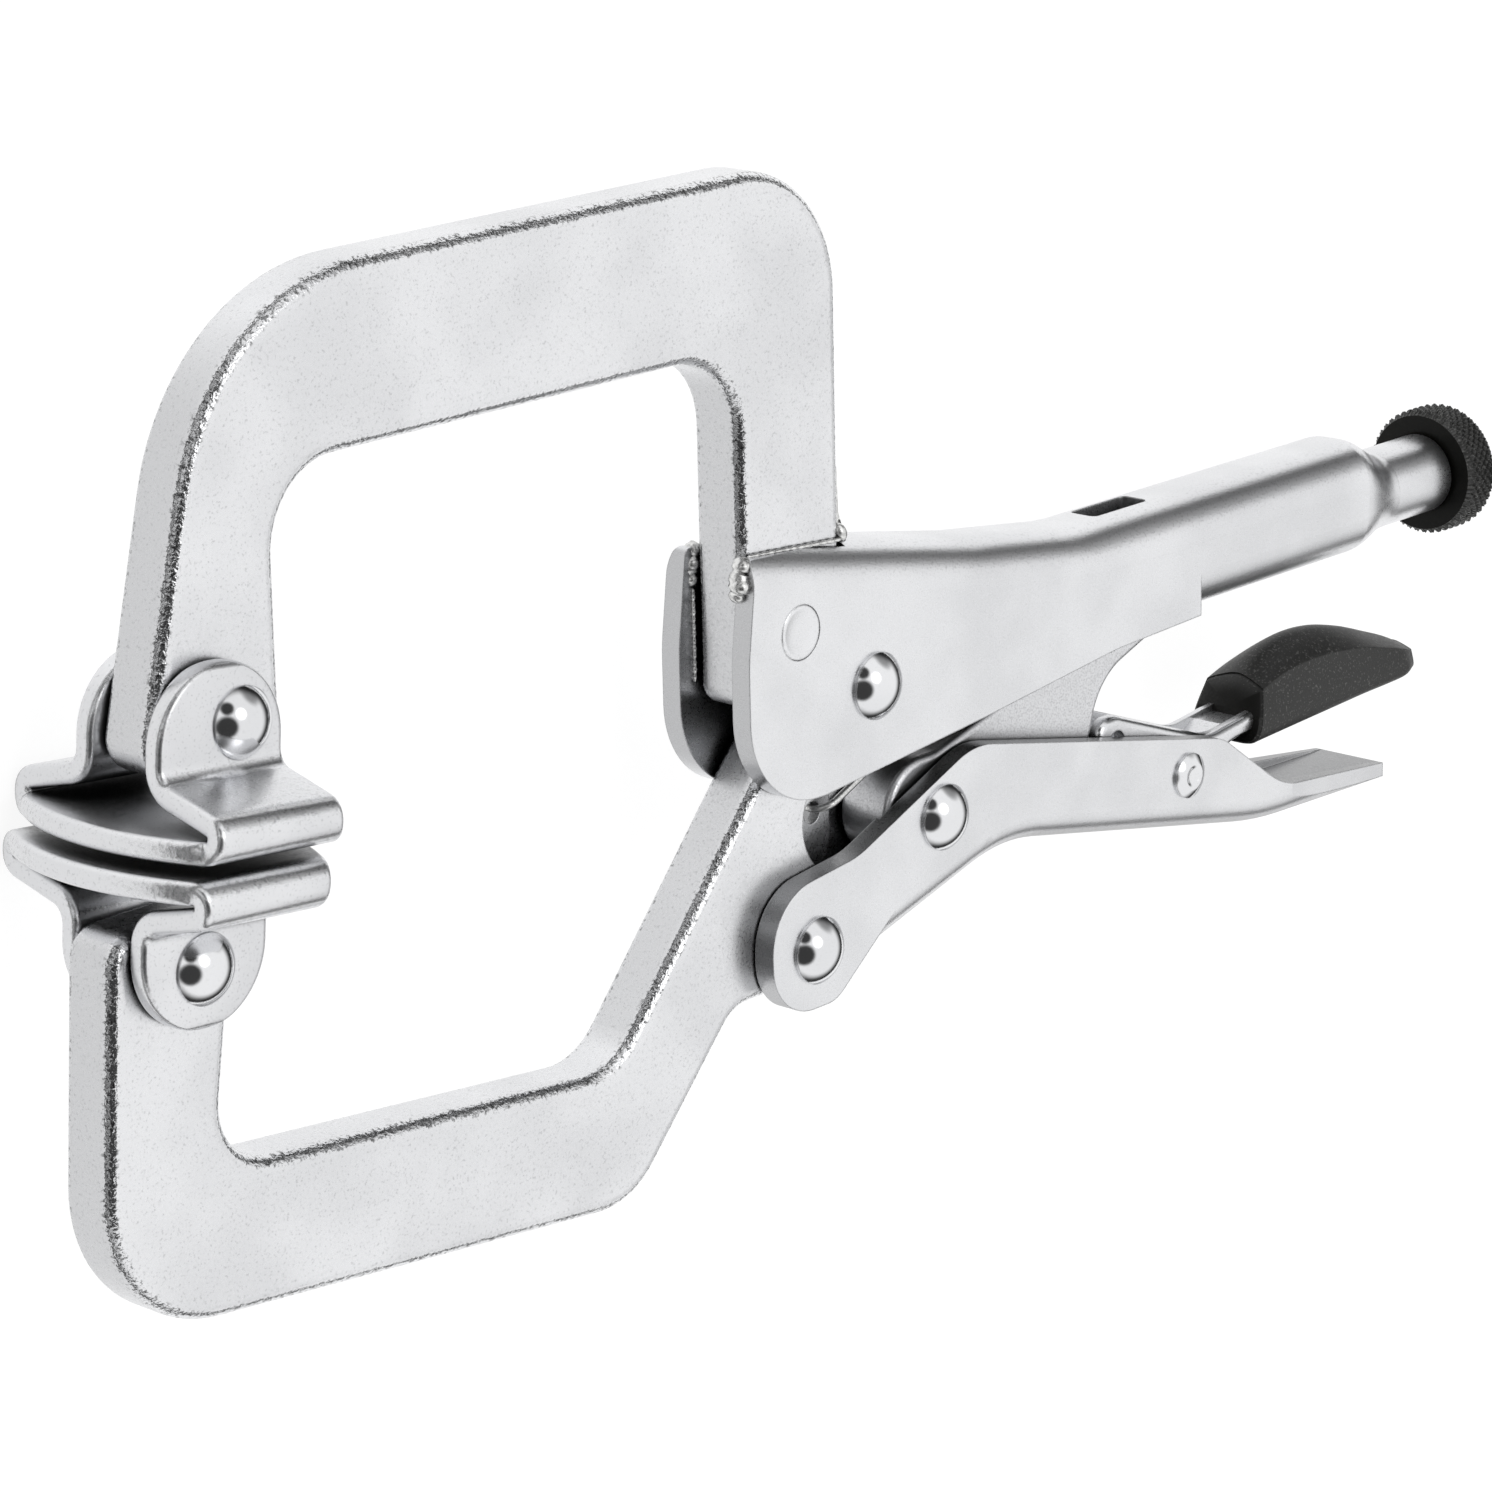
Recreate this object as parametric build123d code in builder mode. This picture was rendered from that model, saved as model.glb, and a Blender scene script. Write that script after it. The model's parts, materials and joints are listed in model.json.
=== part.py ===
from build123d import *
import math
import os

# Locking C-clamp pliers lying on their side, in millimetres.
# X runs from the pads to the knob, Y from the lower jaw to the upper jaw, Z along the hinges.
# The origin is the clamping point, midway between the two pads.
# Positions in the mechanism are given from the jaw pivot, which lies here in the frame:
pivot_x = 113.0
pivot_y = -6.6

# Pivots and hole centres, from the jaw pivot
handle_pivot = (-12.2, -32.4)
link_pivot = (13.0, -20.75)
lever_pivot = (65.6, -27.7)
dowel_centre = (-14.3, 10.1)
spring_hole = (-5.4, -17.0)
spring_lug = (48.5, 5.8)
screw_y = 1.7

# Fits and gaps
pin_clearance = 0.05
side_gap = 0.25
running_gap = 0.6
knob_gap = 0.3
link_screw_gap = 2.4
lever_gap = 0.4
spring_hook_gap = 0.3
pad_gap = 1.3

# Jaws
jaw_thickness = 8.4
edge_round = 2.0
jaw_eye_radius = 8.5
bar_bottom = 46.5
bar_height = 22.0
shank_back = -2.3
shank_width = 19.0
shank_bottom = 0.5
shank_corner_radius = 2.6
arm_inner = -98.4
arm_lean = 13.4
upper_bend_radius = 30.0
upper_corner_radius = 17.0
throat_radius = 10.0
tip_half = 10.8
upper_tip_offset = -1.7
tip_below = 5.5
tip_radius = 4.0
lower_tip_lean = 2.4
heel = (-129.9, -49.3)
heel_radius = 18.0
toe = (-43.5, -58.8)
toe_radius = 12.0
inner_heel = (-111.9, -33.0)
inner_toe = (-46.4, -39.9)
tail_neck = (-24.0, -38.0)
tail_half = 7.4
tail_below = 5.6
tail_corner_radius = 2.6
tail_web = 1.5
tail_web_edge = -2.0
tail_pocket_radius = 8.0

# Fixed handle
handle_sheet = 3.0
cheek_front = -24.0
cheek_bottom = -12.2
cheek_top = 20.8
cheek_nose = 8.0
cheek_foot = -10.0
cheek_radius = 12.5
cheek_waist = (22.0, -9.2)
grip_bottom = (50.0, -6.1)
web_top = 19.2
web_knee = (24.0, 14.2)
web_end = 46.0
web_bend_radius = 40.0
tube_top = 11.2
tube_bottom = -5.4
tube_start = 68.5
tube_end = 108.0
tube_round = 6.0
tube_lip = 2.6
tube_slot = 4.4
neck_radius = 5.8
neck_start = 118.0
neck_end = 131.0
neck_stations = (0.0, 0.25, 0.5, 0.75, 1.0)
top_slot_length = 12.0
top_slot_width = 4.4
top_slot_radius = 1.0
lug_length = 5.6
lug_below = 2.0

# Lower handle
lower_sheet = 2.6
lower_joggle = 0.5
lower_round = 3.4
lower_end = 114.5
lower_end_half = 6.0
lower_taper_start = 90.0
lower_crest = (27.0, -27.9)
lower_dip = (84.0, -39.4)
lower_end_bottom = -40.4
lower_crest_radius = 30.0
lower_dip_radius = 60.0
wall_foot = (88.0, -34.6)
wall_shoulder = (73.5, -24.2)
wall_crest = (19.5, -12.4)
wall_front = (-4.0, -21.9)
ear_radius = 8.6
ear_root = (-4.0, -36.5)
web_start = 3.0

# Toggle link, release lever and sleeve
link_eye_radius = 7.5
link_tail = (63.0, 1.7)
link_tail_radius = 3.2
link_waist = (50.6, -11.2)
link_hip = (62.5, -7.0)
link_foot = (47.6, -20.6)
link_edge_round = 1.0
lever_sheet = 1.8
lever_nose = (49.4, -17.0)
lever_nose_length = 4.4
lever_nose_height = 7.6
lever_hole = (53.4, -20.7)
lever_hole_radius = 1.7
lever_saddle = (75.0, -24.8)
lever_rise = (88.0, -23.3)
lever_crown = (104.0, -20.2)
lever_tail_end = (124.0, -24.2)
lever_tail_height = 2.2
lever_tail_start = 80.0
lever_eye_radius = 4.4
lever_edge_round = 1.2
sleeve_wall = 1.6
sleeve_front_top = (87.0, -20.6)
sleeve_front_bottom = (83.4, -28.1)
sleeve_crown = (102.5, -16.4)
sleeve_tip_top = (128.5, -23.9)
sleeve_tip_bottom = -27.4
sleeve_tip_radius = 1.9
sleeve_round = 1.5

# Screw and knob
screw_radius = 3.95
screw_chamfer = 0.8
knob_radius = 9.3
knob_length = 6.6
knob_chamfer = 0.8

# Rivets, dowel and welds
rivet_radius = 3.2
rivet_head_radius = 4.7
rivet_head_height = 2.3
lever_rivet_radius = 2.2
lever_rivet_head_radius = 3.3
lever_rivet_head_height = 1.4
dowel_radius = 3.6
rear_weld_height = 9.4
rear_weld_length = 3.6
front_weld_length = 5.0
front_weld_leg = 0.9
front_weld_drop = 1.2

# Swivel pads
pad_sheet = 2.6
pad_roll_height = 5.6
pad_flange_rise = 2.7
pad_half_width = 17.6
pad_end_half = 8.6
pad_middle_half = 14.4
pad_rivet_height = 13.2
pad_ear_half = 9.4
pad_ear_above = 7.2
pad_step = 0.1
pad_step_radius = 1.2
pad_bend_radius = 2.6
pad_tilt = -5.3
upper_pad_slide = 4.0
lower_pad_slide = -0.8
upper_pad_offset = -2.9
lower_pad_offset = 0.2

# Tension spring
spring_wire = 1.0
spring_radius = 2.4
spring_pitch = 1.55
spring_turns = 15
spring_leg = 20.0
spring_lead = 2.4
spring_hook_end = 5.0
spring_hole_radius = 1.5

# Sizes that follow from the ones above
jaw_half = jaw_thickness / 2
channel_half = jaw_half + side_gap
handle_half = channel_half + handle_sheet
lower_inner = channel_half + lower_joggle
lower_half = lower_inner + lower_sheet
shank_front = shank_back - shank_width
leg_top = -0.45 * jaw_eye_radius
leg_slope = (jaw_eye_radius - inner_toe[1]) / (leg_top - inner_toe[0])
leg_room = running_gap * math.hypot(1, leg_slope) / leg_slope
shank_notch = leg_top - (jaw_eye_radius - shank_bottom) / leg_slope - leg_room
bar_top = bar_bottom + bar_height
pad_slope = math.radians(pad_tilt)
clamp_plane = Plane((0, 0, 0), x_dir=(math.cos(pad_slope), math.sin(pad_slope), 0))
pad_reach = pad_gap / 2 + pad_rivet_height
upper_pad_pivot = clamp_plane.from_local_coords(Vector(upper_pad_slide, pad_reach, 0))
lower_pad_pivot = clamp_plane.from_local_coords(Vector(lower_pad_slide, -pad_reach, 0))
upper_pad_x = upper_pad_pivot.X - pivot_x
upper_pad_y = upper_pad_pivot.Y - pivot_y
upper_tip_x = upper_pad_x + upper_tip_offset
lower_pad_x = lower_pad_pivot.X - pivot_x
lower_pad_y = lower_pad_pivot.Y - pivot_y
pad_ear_outer = channel_half + pad_sheet
tube_middle = (tube_top + tube_bottom) / 2
knob_start = neck_end + knob_gap
screw_tip = link_tail[0] + link_tail_radius + link_screw_gap
lever_half = lower_inner - lever_gap
pin_hole = rivet_radius + pin_clearance

os.makedirs("parts", exist_ok=True)


def side(z=0.0):
    """Drawing plane square to the hinges at height z, with its origin on the jaw pivot."""
    return Plane((pivot_x, pivot_y, z))


def across(x, y):
    """Drawing plane square to the tool's length, x and y from the jaw pivot, looking to the knob."""
    return Plane((pivot_x + x, pivot_y + y, 0), x_dir=(0, 1, 0), z_dir=(1, 0, 0))


def from_above(x, y):
    """Drawing plane at height y that looks down at the tool's back, x and y from the jaw pivot."""
    return Plane((pivot_x + x, pivot_y + y, 0), x_dir=(1, 0, 0), z_dir=(0, -1, 0))


def outline(corners):
    """Points and radii of a closed outline given as corners (x, y, radius)."""
    points = [(x, y) for x, y, radius in corners]
    radii = [radius for x, y, radius in corners]
    return points, radii


# Upper jaw: a C-shaped bar whose shank goes down between the handle's cheeks
points, radii = outline(
    [
        (upper_tip_x - tip_half, upper_pad_y - tip_below, tip_radius),
        (upper_tip_x - tip_half + arm_lean, bar_top, upper_bend_radius),
        (shank_back, bar_top, upper_corner_radius),
        (shank_back, shank_bottom + leg_slope * (shank_back - shank_notch), 0),
        (shank_notch, shank_bottom, 0),
        (shank_front, shank_bottom, shank_corner_radius),
        (shank_front, bar_bottom, throat_radius),
        (arm_inner, bar_bottom, throat_radius),
        (upper_tip_x + tip_half, upper_pad_y - tip_below, tip_radius),
    ]
)
with BuildPart() as fixed_jaw:
    with BuildSketch(side()):
        with BuildLine():
            FilletPolyline(*points, radius=radii, close=True)
        make_face()
    extrude(amount=jaw_half, both=True)
    fillet(fixed_jaw.faces().sort_by(Axis.Z)[0].edges(), edge_round)
    fillet(fixed_jaw.faces().sort_by(Axis.Z)[-1].edges(), edge_round)
    with BuildSketch(side()):
        with Locations(dowel_centre):
            Circle(dowel_radius)
        with Locations((upper_pad_x, upper_pad_y)):
            Circle(pin_hole)
    extrude(amount=jaw_thickness, both=True, mode=Mode.SUBTRACT)
fixed_jaw.part.label = "fixed_jaw"
export_step(fixed_jaw.part, "parts/fixed_jaw.step")

# Lower jaw: the same bar turned over, with an eye on the jaw pivot and a tail for the lower handle
points, radii = outline(
    [
        (lower_pad_x - tip_half, lower_pad_y + tip_below, tip_radius),
        (*heel, heel_radius),
        (*toe, toe_radius),
        (*tail_neck, 6.0),
        (handle_pivot[0] + tail_half, handle_pivot[1] - tail_below, tail_below - 0.1),
        (handle_pivot[0] + tail_half, handle_pivot[1] + tail_below, tail_corner_radius),
        (tail_web_edge, spring_hole[1] - 5.0, tail_corner_radius),
        (tail_web_edge, spring_hole[1] + 4.0, tail_corner_radius),
        (jaw_eye_radius, -3.0, 3.0),
        (jaw_eye_radius, jaw_eye_radius, jaw_eye_radius - 0.1),
        (leg_top, jaw_eye_radius, jaw_eye_radius - 0.1),
        (*inner_toe, throat_radius),
        (*inner_heel, throat_radius - 2.0),
        (lower_pad_x + tip_half - lower_tip_lean, lower_pad_y + tip_below, tip_radius),
    ]
)
with BuildPart() as moving_jaw:
    with BuildSketch(side()):
        with BuildLine():
            FilletPolyline(*points, radius=radii, close=True)
        make_face()
    extrude(amount=jaw_half, both=True)
    fillet(moving_jaw.faces().sort_by(Axis.Z)[0].edges(), edge_round)
    fillet(moving_jaw.faces().sort_by(Axis.Z)[-1].edges(), edge_round)
    # round pockets on both sides leave a thin web for the spring's hook
    for pocket_floor in (tail_web / 2, -tail_web / 2 - jaw_thickness):
        with BuildSketch(side(pocket_floor)):
            with Locations((spring_hole[0] + spring_radius, spring_hole[1])):
                Circle(tail_pocket_radius)
            Circle(jaw_eye_radius, mode=Mode.SUBTRACT)
            with Locations(handle_pivot):
                Circle(ear_radius, mode=Mode.SUBTRACT)
        extrude(amount=jaw_thickness, mode=Mode.SUBTRACT)
    with BuildSketch(side()):
        with Locations((0, 0), handle_pivot, (lower_pad_x, lower_pad_y)):
            Circle(pin_hole)
        with Locations(spring_hole):
            Circle(spring_hole_radius)
    extrude(amount=jaw_thickness, both=True, mode=Mode.SUBTRACT)
moving_jaw.part.label = "moving_jaw"
export_step(moving_jaw.part, "parts/moving_jaw.step")

# Fixed handle: a channel of bent sheet, open below in front, rolled into a tube behind
points, radii = outline(
    [
        (cheek_front + 1.6, cheek_top, 1.0),
        (shank_back, web_top, 0),
        (*web_knee, web_bend_radius),
        (web_end, tube_top, web_bend_radius),
        (tube_start, tube_top, 0),
        (tube_start, tube_bottom, 0),
        (*grip_bottom, web_bend_radius),
        (*cheek_waist, web_bend_radius),
        (cheek_foot, cheek_bottom, cheek_radius / 2),
        (cheek_front, cheek_bottom, cheek_radius),
        (cheek_front, cheek_nose, 2 * cheek_radius),
    ]
)
with BuildPart() as fixed_handle:
    with BuildSketch(side()):
        with BuildLine():
            FilletPolyline(*points, radius=radii, close=True)
        make_face()
    extrude(amount=handle_half, both=True)
    fillet(fixed_handle.edges().filter_by(Axis.X).group_by(Axis.Y)[-1], tube_round)
    with BuildSketch(across(tube_start, tube_middle)):
        RectangleRounded(tube_top - tube_bottom, 2 * handle_half, tube_round)
    extrude(amount=tube_end - tube_start)
    # neck: the tube's end is drawn in to a round collar, with a soft shoulder and a soft foot
    for share in neck_stations:
        drawn = share * share * (3 - 2 * share)
        neck_y = tube_middle + drawn * (screw_y - tube_middle)
        neck_height = tube_top - tube_bottom + drawn * (2 * neck_radius - tube_top + tube_bottom)
        neck_width = 2 * handle_half + drawn * (2 * neck_radius - 2 * handle_half)
        neck_corner = tube_round + share * (0.49 * min(neck_height, neck_width) - tube_round)
        with BuildSketch(across(tube_end + share * (neck_start - tube_end), neck_y)):
            RectangleRounded(neck_height, neck_width, neck_corner)
    loft()
    with BuildSketch(across(neck_start, screw_y)):
        Circle(neck_radius)
    extrude(amount=neck_end - neck_start)
    # inside of the channel and of the tube
    with BuildSketch(side()):
        Polygon(
            (cheek_front - 1.0, cheek_bottom - 1.0),
            (tube_start, cheek_bottom - 1.0),
            (tube_start, tube_bottom + tube_lip),
            (tube_end, tube_bottom + tube_lip),
            (tube_end, tube_top - handle_sheet),
            (web_end, tube_top - handle_sheet),
            (web_knee[0], web_knee[1] - handle_sheet),
            (shank_back, web_top - handle_sheet),
            (shank_back, cheek_top + 1.0),
            (cheek_front - 1.0, cheek_top + 1.0),
            align=None,
        )
    extrude(amount=channel_half, both=True, mode=Mode.SUBTRACT)
    with BuildSketch(side()):
        with Locations(((tube_start + tube_end) / 2, tube_bottom)):
            Rectangle(tube_end - tube_start, 3 * tube_lip)
    extrude(amount=tube_slot / 2, both=True, mode=Mode.SUBTRACT)
    with BuildSketch(across(tube_end - 1.0, screw_y)):
        Circle(screw_radius + pin_clearance)
    extrude(amount=neck_end - tube_end + 2.0, mode=Mode.SUBTRACT)
    # lanced slot in the top, with the spring's lug turned down in front of it
    slot_x = spring_lug[0] + lug_length / 2 + top_slot_length / 2
    with BuildSketch(from_above(slot_x, tube_top)):
        RectangleRounded(top_slot_length, top_slot_width, top_slot_radius)
    extrude(amount=handle_sheet + tube_lip, mode=Mode.SUBTRACT)
    lug_top = tube_top - handle_sheet / 2
    lug_bottom = spring_lug[1] - lug_below
    with BuildSketch(side()):
        with Locations((spring_lug[0], (lug_top + lug_bottom) / 2)):
            Rectangle(lug_length, lug_top - lug_bottom)
    extrude(amount=tail_web / 2, both=True)
    with BuildSketch(side()):
        with Locations(spring_lug):
            Circle(spring_hole_radius)
    extrude(amount=tail_web, both=True, mode=Mode.SUBTRACT)
    # holes for the pivot rivet and the dowel
    with BuildSketch(side()):
        Circle(rivet_radius)
        with Locations(dowel_centre):
            Circle(dowel_radius)
    extrude(amount=2 * handle_half, both=True, mode=Mode.SUBTRACT)
fixed_handle.part.label = "fixed_handle"
export_step(fixed_handle.part, "parts/fixed_handle.step")

# Dowel through the cheeks and the shank, flush on both sides
with BuildPart() as jaw_dowel:
    with BuildSketch(side()):
        with Locations(dowel_centre):
            Circle(dowel_radius)
    extrude(amount=handle_half, both=True)
jaw_dowel.part.label = "jaw_dowel"
export_step(jaw_dowel.part, "parts/jaw_dowel.step")

# Weld at the back of the shank, on top of the handle
web_slope = (web_top - web_knee[1]) / (web_knee[0] - shank_back)
with BuildPart() as rear_weld:
    with BuildSketch(side()):
        with BuildLine():
            corner = (shank_back, web_top)
            crown = (shank_back, web_top + rear_weld_height)
            foot = (shank_back + rear_weld_length, web_top - web_slope * rear_weld_length)
            Polyline(foot, corner, crown)
            TangentArc(crown, foot, tangent=(0.15, -1.0))
        make_face()
    extrude(amount=jaw_half - edge_round / 2, both=True)
rear_weld.part.label = "rear_weld"
export_step(rear_weld.part, "parts/rear_weld.step")

# Welds in the corners between the shank's front and the cheeks
for weld_name, hand in (("front_weld_near", 1), ("front_weld_far", -1)):
    with BuildPart() as front_weld:
        with BuildSketch(from_above(0, cheek_top - front_weld_drop)):
            Polygon(
                (shank_front, hand * channel_half),
                (shank_front - front_weld_leg, hand * channel_half),
                (shank_front, hand * (jaw_half - edge_round - front_weld_leg)),
                align=None,
            )
        extrude(amount=front_weld_length)
    front_weld.part.label = weld_name
    export_step(front_weld.part, f"parts/{weld_name}.step")

# Lower handle: a channel open upwards, with two ears round the moving jaw's tail
keel_slope = (lower_crest[1] - ear_root[1]) / (lower_crest[0] - ear_root[0])
points, radii = outline(
    [
        (handle_pivot[0] - ear_radius, handle_pivot[1] + ear_radius, ear_radius - 0.2),
        (handle_pivot[0] - ear_radius, handle_pivot[1] - ear_radius + 0.8, ear_radius - 1.0),
        (handle_pivot[0] + 3.4, handle_pivot[1] - ear_radius + 0.8, 5.0),
        (*ear_root, 0),
        (*lower_crest, lower_crest_radius),
        (*lower_dip, lower_dip_radius),
        (lower_end, lower_end_bottom, 0),
        (lower_end, lower_end_bottom + lower_sheet, 0),
        (*wall_foot, 15.0),
        (*wall_shoulder, 9.0),
        (*wall_crest, 12.0),
        (*wall_front, 12.0),
    ]
)
with BuildPart() as lower_handle:
    with BuildSketch(side()):
        with BuildLine():
            FilletPolyline(*points, radius=radii, close=True)
        make_face()
    extrude(amount=lower_half, both=True)
    outline_edges = lower_handle.edges().filter_by(lambda edge: edge.bounding_box().size.Z < 0.01)
    keel_edges = outline_edges.filter_by(lambda edge: edge.bounding_box().max.X > pivot_x + lower_end - 1)
    fillet(keel_edges.group_by(Axis.Y)[0], lower_round)
    with BuildSketch(side()):
        with Locations((web_start, handle_pivot[1])):
            Rectangle(60.0, 60.0, align=(Align.MAX, Align.CENTER))
    extrude(amount=channel_half, both=True, mode=Mode.SUBTRACT)
    points, radii = outline(
        [
            (web_start, ear_root[1] + keel_slope * (web_start - ear_root[0]) + lower_sheet, 0),
            (lower_crest[0], lower_crest[1] + lower_sheet, lower_crest_radius),
            (lower_dip[0], lower_dip[1] + lower_sheet, lower_dip_radius),
            (lower_end, lower_end_bottom + lower_sheet, 0),
            (lower_end, 0.0, 0),
            (web_start, 0.0, 0),
        ]
    )
    with BuildSketch(side()):
        with BuildLine():
            FilletPolyline(*points, radius=radii, close=True)
        make_face()
    extrude(amount=lower_inner, both=True, mode=Mode.SUBTRACT)
    # the tongue at the end narrows on both sides
    with BuildSketch(from_above(0, 0)):
        for hand in (1, -1):
            Polygon(
                (lower_taper_start, hand * lower_half),
                (lower_end, hand * lower_end_half),
                (lower_end + lower_half, hand * lower_end_half),
                (lower_end + lower_half, hand * 2 * lower_half),
                (lower_taper_start, hand * 2 * lower_half),
                align=None,
            )
    extrude(amount=-2 * lower_end_bottom, mode=Mode.SUBTRACT)
    with BuildSketch(side()):
        with Locations(handle_pivot, link_pivot):
            Circle(rivet_radius)
        with Locations(lever_pivot):
            Circle(lever_rivet_radius)
    extrude(amount=2 * lower_half, both=True, mode=Mode.SUBTRACT)
lower_handle.part.label = "lower_handle"
export_step(lower_handle.part, "parts/lower_handle.step")

# Toggle link: eye in the lower handle, tail in front of the screw's tip
points, radii = outline(
    [
        (link_pivot[0] - link_eye_radius, link_pivot[1] - link_eye_radius, 0.82 * link_eye_radius),
        (link_pivot[0] - link_eye_radius, link_pivot[1] + link_eye_radius, link_eye_radius - 0.2),
        (link_pivot[0] + 3.0, link_pivot[1] + link_eye_radius, 8.0),
        (link_tail[0] - 4.5, link_tail[1] - 3.6, 3.0),
        (link_tail[0] - 1.5, link_tail[1] + link_tail_radius, 1.0),
        (link_tail[0] + link_tail_radius, link_tail[1] + link_tail_radius, link_tail_radius - 0.1),
        (link_tail[0] + link_tail_radius, link_tail[1] - link_tail_radius, 2.0),
        (*link_hip, 2.0),
        (*link_waist, 10.0),
        (*link_foot, 2.0),
    ]
)
with BuildPart() as toggle_link:
    with BuildSketch(side()):
        with BuildLine():
            FilletPolyline(*points, radius=radii, close=True)
        make_face()
    extrude(amount=jaw_half, both=True)
    fillet(toggle_link.faces().sort_by(Axis.Z)[0].edges(), link_edge_round)
    fillet(toggle_link.faces().sort_by(Axis.Z)[-1].edges(), link_edge_round)
    with BuildSketch(side()):
        with Locations(link_pivot):
            Circle(pin_hole)
    extrude(amount=jaw_thickness, both=True, mode=Mode.SUBTRACT)
toggle_link.part.label = "toggle_link"
export_step(toggle_link.part, "parts/toggle_link.step")

# Release lever: a pressed channel, open above, on its own rivet in the lower handle
points, radii = outline(
    [
        (*lever_nose, 2.5),
        (lever_nose[0], lever_nose[1] - lever_nose_height, 2.5),
        (lever_pivot[0] - lever_eye_radius, lever_pivot[1] - lever_eye_radius, lever_eye_radius - 0.2),
        (lever_pivot[0] + lever_eye_radius, lever_pivot[1] - lever_eye_radius, lever_eye_radius - 0.2),
        (lever_tail_start, lever_tail_end[1] - lever_tail_height - 0.4, 8.0),
        (lever_tail_end[0], lever_tail_end[1] - lever_tail_height, 1.2),
        (*lever_tail_end, 1.2),
        (*lever_crown, 24.0),
        (*lever_rise, 14.0),
        (*lever_saddle, 10.0),
        (lever_nose[0] + lever_nose_length, lever_nose[1], 6.0),
    ]
)
with BuildPart() as release_lever:
    with BuildSketch(side()):
        with BuildLine():
            FilletPolyline(*points, radius=radii, close=True)
        make_face()
    extrude(amount=lever_half, both=True)
    fillet(release_lever.faces().sort_by(Axis.Z)[0].edges(), lever_edge_round)
    fillet(release_lever.faces().sort_by(Axis.Z)[-1].edges(), lever_edge_round)
    with BuildSketch(side()):
        Polygon(
            (lever_nose[0] - lever_sheet, lever_nose[1] + lever_nose_height),
            (lever_nose[0] - lever_sheet, lever_nose[1] - lever_nose_height + lever_sheet),
            (lever_pivot[0] - lever_eye_radius, lever_pivot[1] - lever_eye_radius + lever_sheet),
            (lever_pivot[0] + lever_eye_radius, lever_pivot[1] - lever_eye_radius + lever_sheet),
            (lever_tail_start, lever_tail_end[1] - lever_tail_height + lever_sheet),
            (lever_tail_end[0] - lever_sheet, lever_tail_end[1] - lever_tail_height + lever_sheet),
            (lever_tail_end[0] - lever_sheet, lever_nose[1] + lever_nose_height),
            align=None,
        )
    extrude(amount=lever_half - lever_sheet, both=True, mode=Mode.SUBTRACT)
    with BuildSketch(side()):
        with Locations(lever_pivot):
            Circle(lever_rivet_radius + pin_clearance)
        with Locations(lever_hole):
            Circle(lever_hole_radius)
    extrude(amount=2 * lever_half, both=True, mode=Mode.SUBTRACT)
release_lever.part.label = "release_lever"
export_step(release_lever.part, "parts/release_lever.step")

# Sleeve dipped over the lever's tail, inside the channel too, with a slanted front
points, radii = outline(
    [
        (*sleeve_front_top, 0),
        (*sleeve_crown, 22.0),
        (*sleeve_tip_top, sleeve_tip_radius),
        (sleeve_tip_top[0], sleeve_tip_bottom, 0.9 * sleeve_tip_radius),
        (*sleeve_front_bottom, 0),
    ]
)
with BuildPart() as lever_sleeve:
    with BuildSketch(side()):
        with BuildLine():
            FilletPolyline(*points, radius=radii, close=True)
        make_face()
    extrude(amount=lever_half + sleeve_wall, both=True)
    sleeve_edges = lever_sleeve.edges().filter_by(lambda edge: edge.bounding_box().size.Z < 0.01)
    sleeve_edges = sleeve_edges.filter_by(lambda edge: edge.center().X > pivot_x + sleeve_front_top[0])
    fillet(sleeve_edges, sleeve_round)
    add(release_lever.part, mode=Mode.SUBTRACT)
lever_sleeve.part.label = "lever_sleeve"
export_step(lever_sleeve.part, "parts/lever_sleeve.step")

# Adjusting screw through the neck, and the knob on its end
with BuildPart() as adjusting_screw:
    with BuildSketch(across(screw_tip, screw_y)):
        Circle(screw_radius)
    extrude(amount=knob_start + knob_length - screw_tip)
    chamfer(adjusting_screw.faces().sort_by(Axis.X)[0].edges(), screw_chamfer)
adjusting_screw.part.label = "adjusting_screw"
export_step(adjusting_screw.part, "parts/adjusting_screw.step")

with BuildPart() as knurled_knob:
    with BuildSketch(across(knob_start, screw_y)):
        Circle(knob_radius)
    extrude(amount=knob_length)
    chamfer(knurled_knob.edges().filter_by(GeomType.CIRCLE), knob_chamfer)
    with BuildSketch(across(knob_start, screw_y)):
        Circle(screw_radius + pin_clearance)
    extrude(amount=knob_length, mode=Mode.SUBTRACT)
knurled_knob.part.label = "knurled_knob"
export_step(knurled_knob.part, "parts/knurled_knob.step")

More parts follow.
